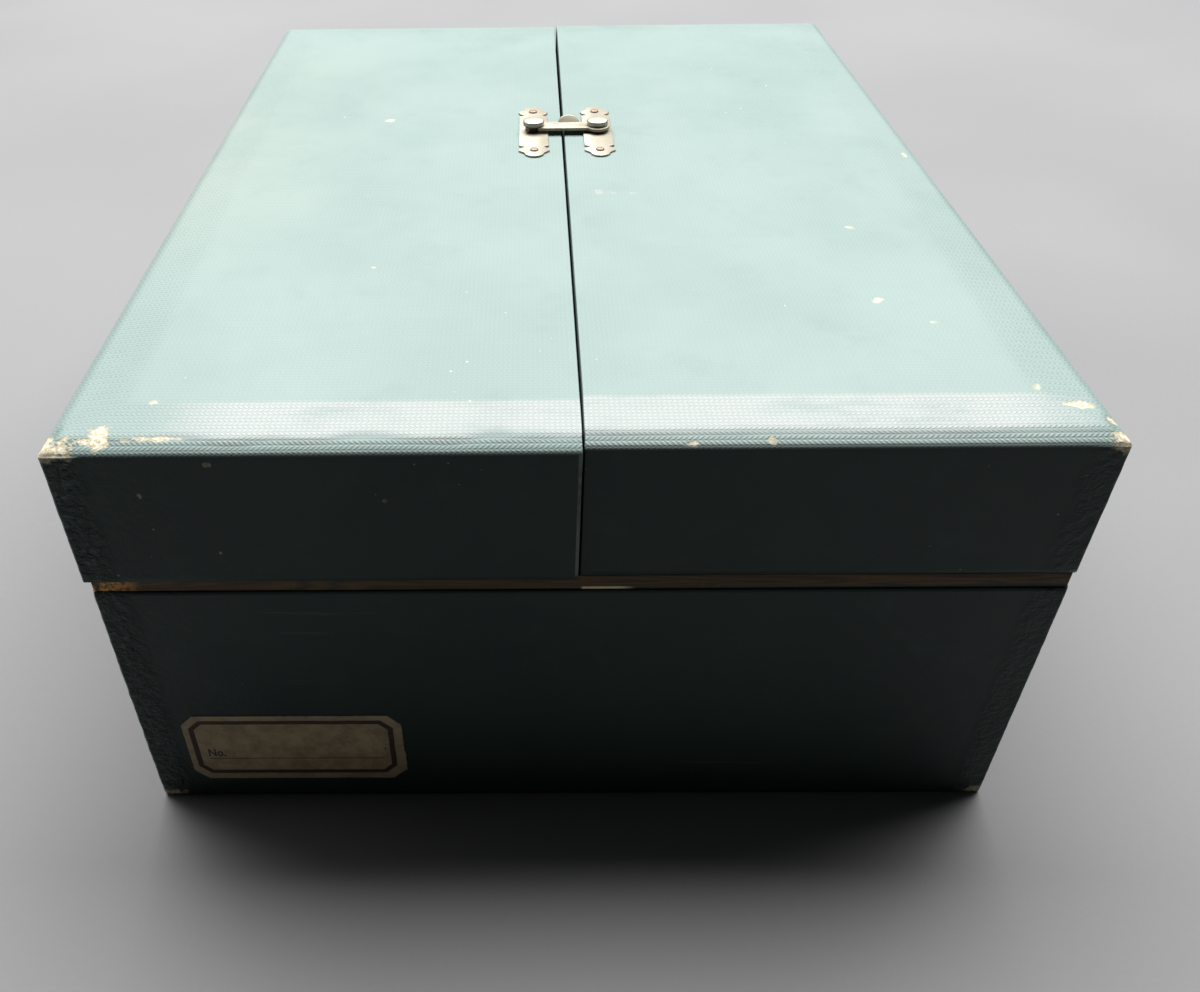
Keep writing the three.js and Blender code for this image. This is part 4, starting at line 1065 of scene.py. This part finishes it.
def ragged_outline():
    """The paper's outline about its middle: a box with clipped corners, cut unevenly, its right end torn."""
    half_x, half_z = LABEL_HALF
    outline = []
    for sx, sz in ((1, -1), (1, 1), (-1, 1), (-1, -1)):
        clipped = [(sx * (half_x - LABEL_CLIP), sz * half_z), (sx * half_x, sz * (half_z - LABEL_CLIP))]
        outline += clipped if sx * sz < 0 else clipped[::-1]
    ragged = []
    for (x, z), (next_x, next_z) in zip(outline, outline[1:] + outline[:1]):
        steps = max(2, round(math.hypot(next_x - x, next_z - z) / 1.6))
        for k in range(steps):
            px, pz = x + (next_x - x) * k / steps, z + (next_z - z) * k / steps
            tear = 0.16 * noise.noise(Vector((px * 0.6, pz * 0.6, 3.0)))
            scale = 1 - 0.012 + tear * 0.05
            if px > half_x - 0.2 and pz < -3:
                px += 0.35
            ragged.append((px * scale, pz * scale))
    return ragged


def make_label():
    """The paper label, glued to the base's front."""
    ragged = ragged_outline()
    faces_y = (LABEL_FACE, LABEL_FACE + LABEL_THICK)
    points = [(LABEL_X + x, y, LABEL_Z + z) for y in faces_y for x, z in ragged]
    mesh = outward(mesh_of("paper_label", points, prism(len(ragged)), smooth=False))
    new_object(mesh, PAPER, "case", ["label"])


def make_number_sign():
    """The plain sign for a number, printed at the left of the label's rule."""
    text = bpy.data.curves.new("number_sign", "FONT")
    text.body = "No."
    text.size = SIGN_SIZE * MM
    text.offset = 0.12 * MM
    text.extrude = 0.015 * MM
    text.space_character = 1.05
    text.resolution_u = 3
    mesh = evaluated_mesh("number_sign", linked("number_sign_text", text))
    mesh.transform(Matrix.Diagonal((0.92, 1.3, 1.0, 1.0)))
    mesh.transform(Matrix.Rotation(math.pi / 2, 4, "X"))
    mesh.transform(Matrix.Translation((SIGN_X * MM, LABEL_FACE * MM, SIGN_Z * MM)))
    new_object(outward(mesh), INK, "case")


# ---- the set

def make_set():
    base_cloth()
    for label, side in (("left", -1), ("right", 1)):
        lid_cloth(label, side)
        lid_pad(label)
    soften_all()
    stud("catch_stud_turned", CATCH_X, False, "left_lid", "catch_stud")
    stud("pivot_stud_turned", PIVOT_X, True, "right_lid", "pivot_stud")
    make_repeats()
    make_label()
    make_number_sign()


# ---- camera, light and floor

CAMERA_PLACE = (-0.01626, -0.43343, 0.33084)  # metres
CAMERA_TURN = (39.03, -0.704, -0.787)  # down, aside and over, in degrees
FLOOR_HALF = 4000.0


def make_camera():
    """Looks down over the case's front, from just in front of it."""
    pitch, yaw, roll = (math.radians(a) for a in CAMERA_TURN)
    forward = Vector((math.sin(yaw) * math.cos(pitch), math.cos(yaw) * math.cos(pitch), -math.sin(pitch)))
    right = Vector((math.cos(yaw), -math.sin(yaw), 0))
    up = right.cross(forward)
    turned_right = right * math.cos(roll) + up * math.sin(roll)
    turned_up = up * math.cos(roll) - right * math.sin(roll)
    data = bpy.data.cameras.new("camera")
    data.sensor_width, data.lens, data.shift_x = 36.0, 31.86, 0.0712
    data.clip_start, data.clip_end = 0.01, 50.0
    camera = linked("camera", data)
    axes = Matrix((turned_right, turned_up, -forward)).transposed()
    camera.matrix_world = Matrix.Translation(CAMERA_PLACE) @ axes.to_4x4()
    bpy.context.scene.camera = camera


def area_light(name, power, size, azimuth, elevation, distance):
    """A soft light that looks at the case. Azimuth 0 is behind it, and 90 to its right."""
    a, e = math.radians(azimuth), math.radians(elevation)
    data = bpy.data.lights.new(name, "AREA")
    data.shape, data.size, data.size_y = "RECTANGLE", *size
    data.energy = power
    light = linked(name, data)
    away = Vector((math.sin(a) * math.cos(e), math.cos(a) * math.cos(e), math.sin(e)))
    aim = Vector((0, 0, 0.1))
    light.location = aim + away * distance
    light.rotation_euler = (-away).to_track_quat("-Z", "Y").to_euler()


def make_studio():
    """A broad soft light from over the back, weak fills, a dim sky and a plain pale floor."""
    area_light("key", 435, (4.2, 2.0), 3, 64, 2.9)
    area_light("side_fill", 12, (1.6, 1.6), -75, 35, 2.4)
    area_light("front_fill", 0.18, (2.2, 1.6), 170, 40, 2.6)
    world = bpy.data.worlds.new("studio")
    world.use_nodes = True
    sky = world.node_tree.nodes["Background"].inputs
    sky[0].default_value = (0.9, 0.95, 1.0, 1.0)
    sky[1].default_value = 0.026
    bpy.context.scene.world = world
    corners = [(x * FLOOR_HALF, y * FLOOR_HALF, 0) for x, y in ((-1, -1), (1, -1), (1, 1), (-1, 1))]
    mesh = mesh_of("floor", corners, [(0, 1, 2, 3)])
    mesh.materials.append(floor_finish())
    floor = linked("floor", mesh)
    bpy.context.scene.view_settings.view_transform = "Standard"


make_set()
make_camera()
make_studio()
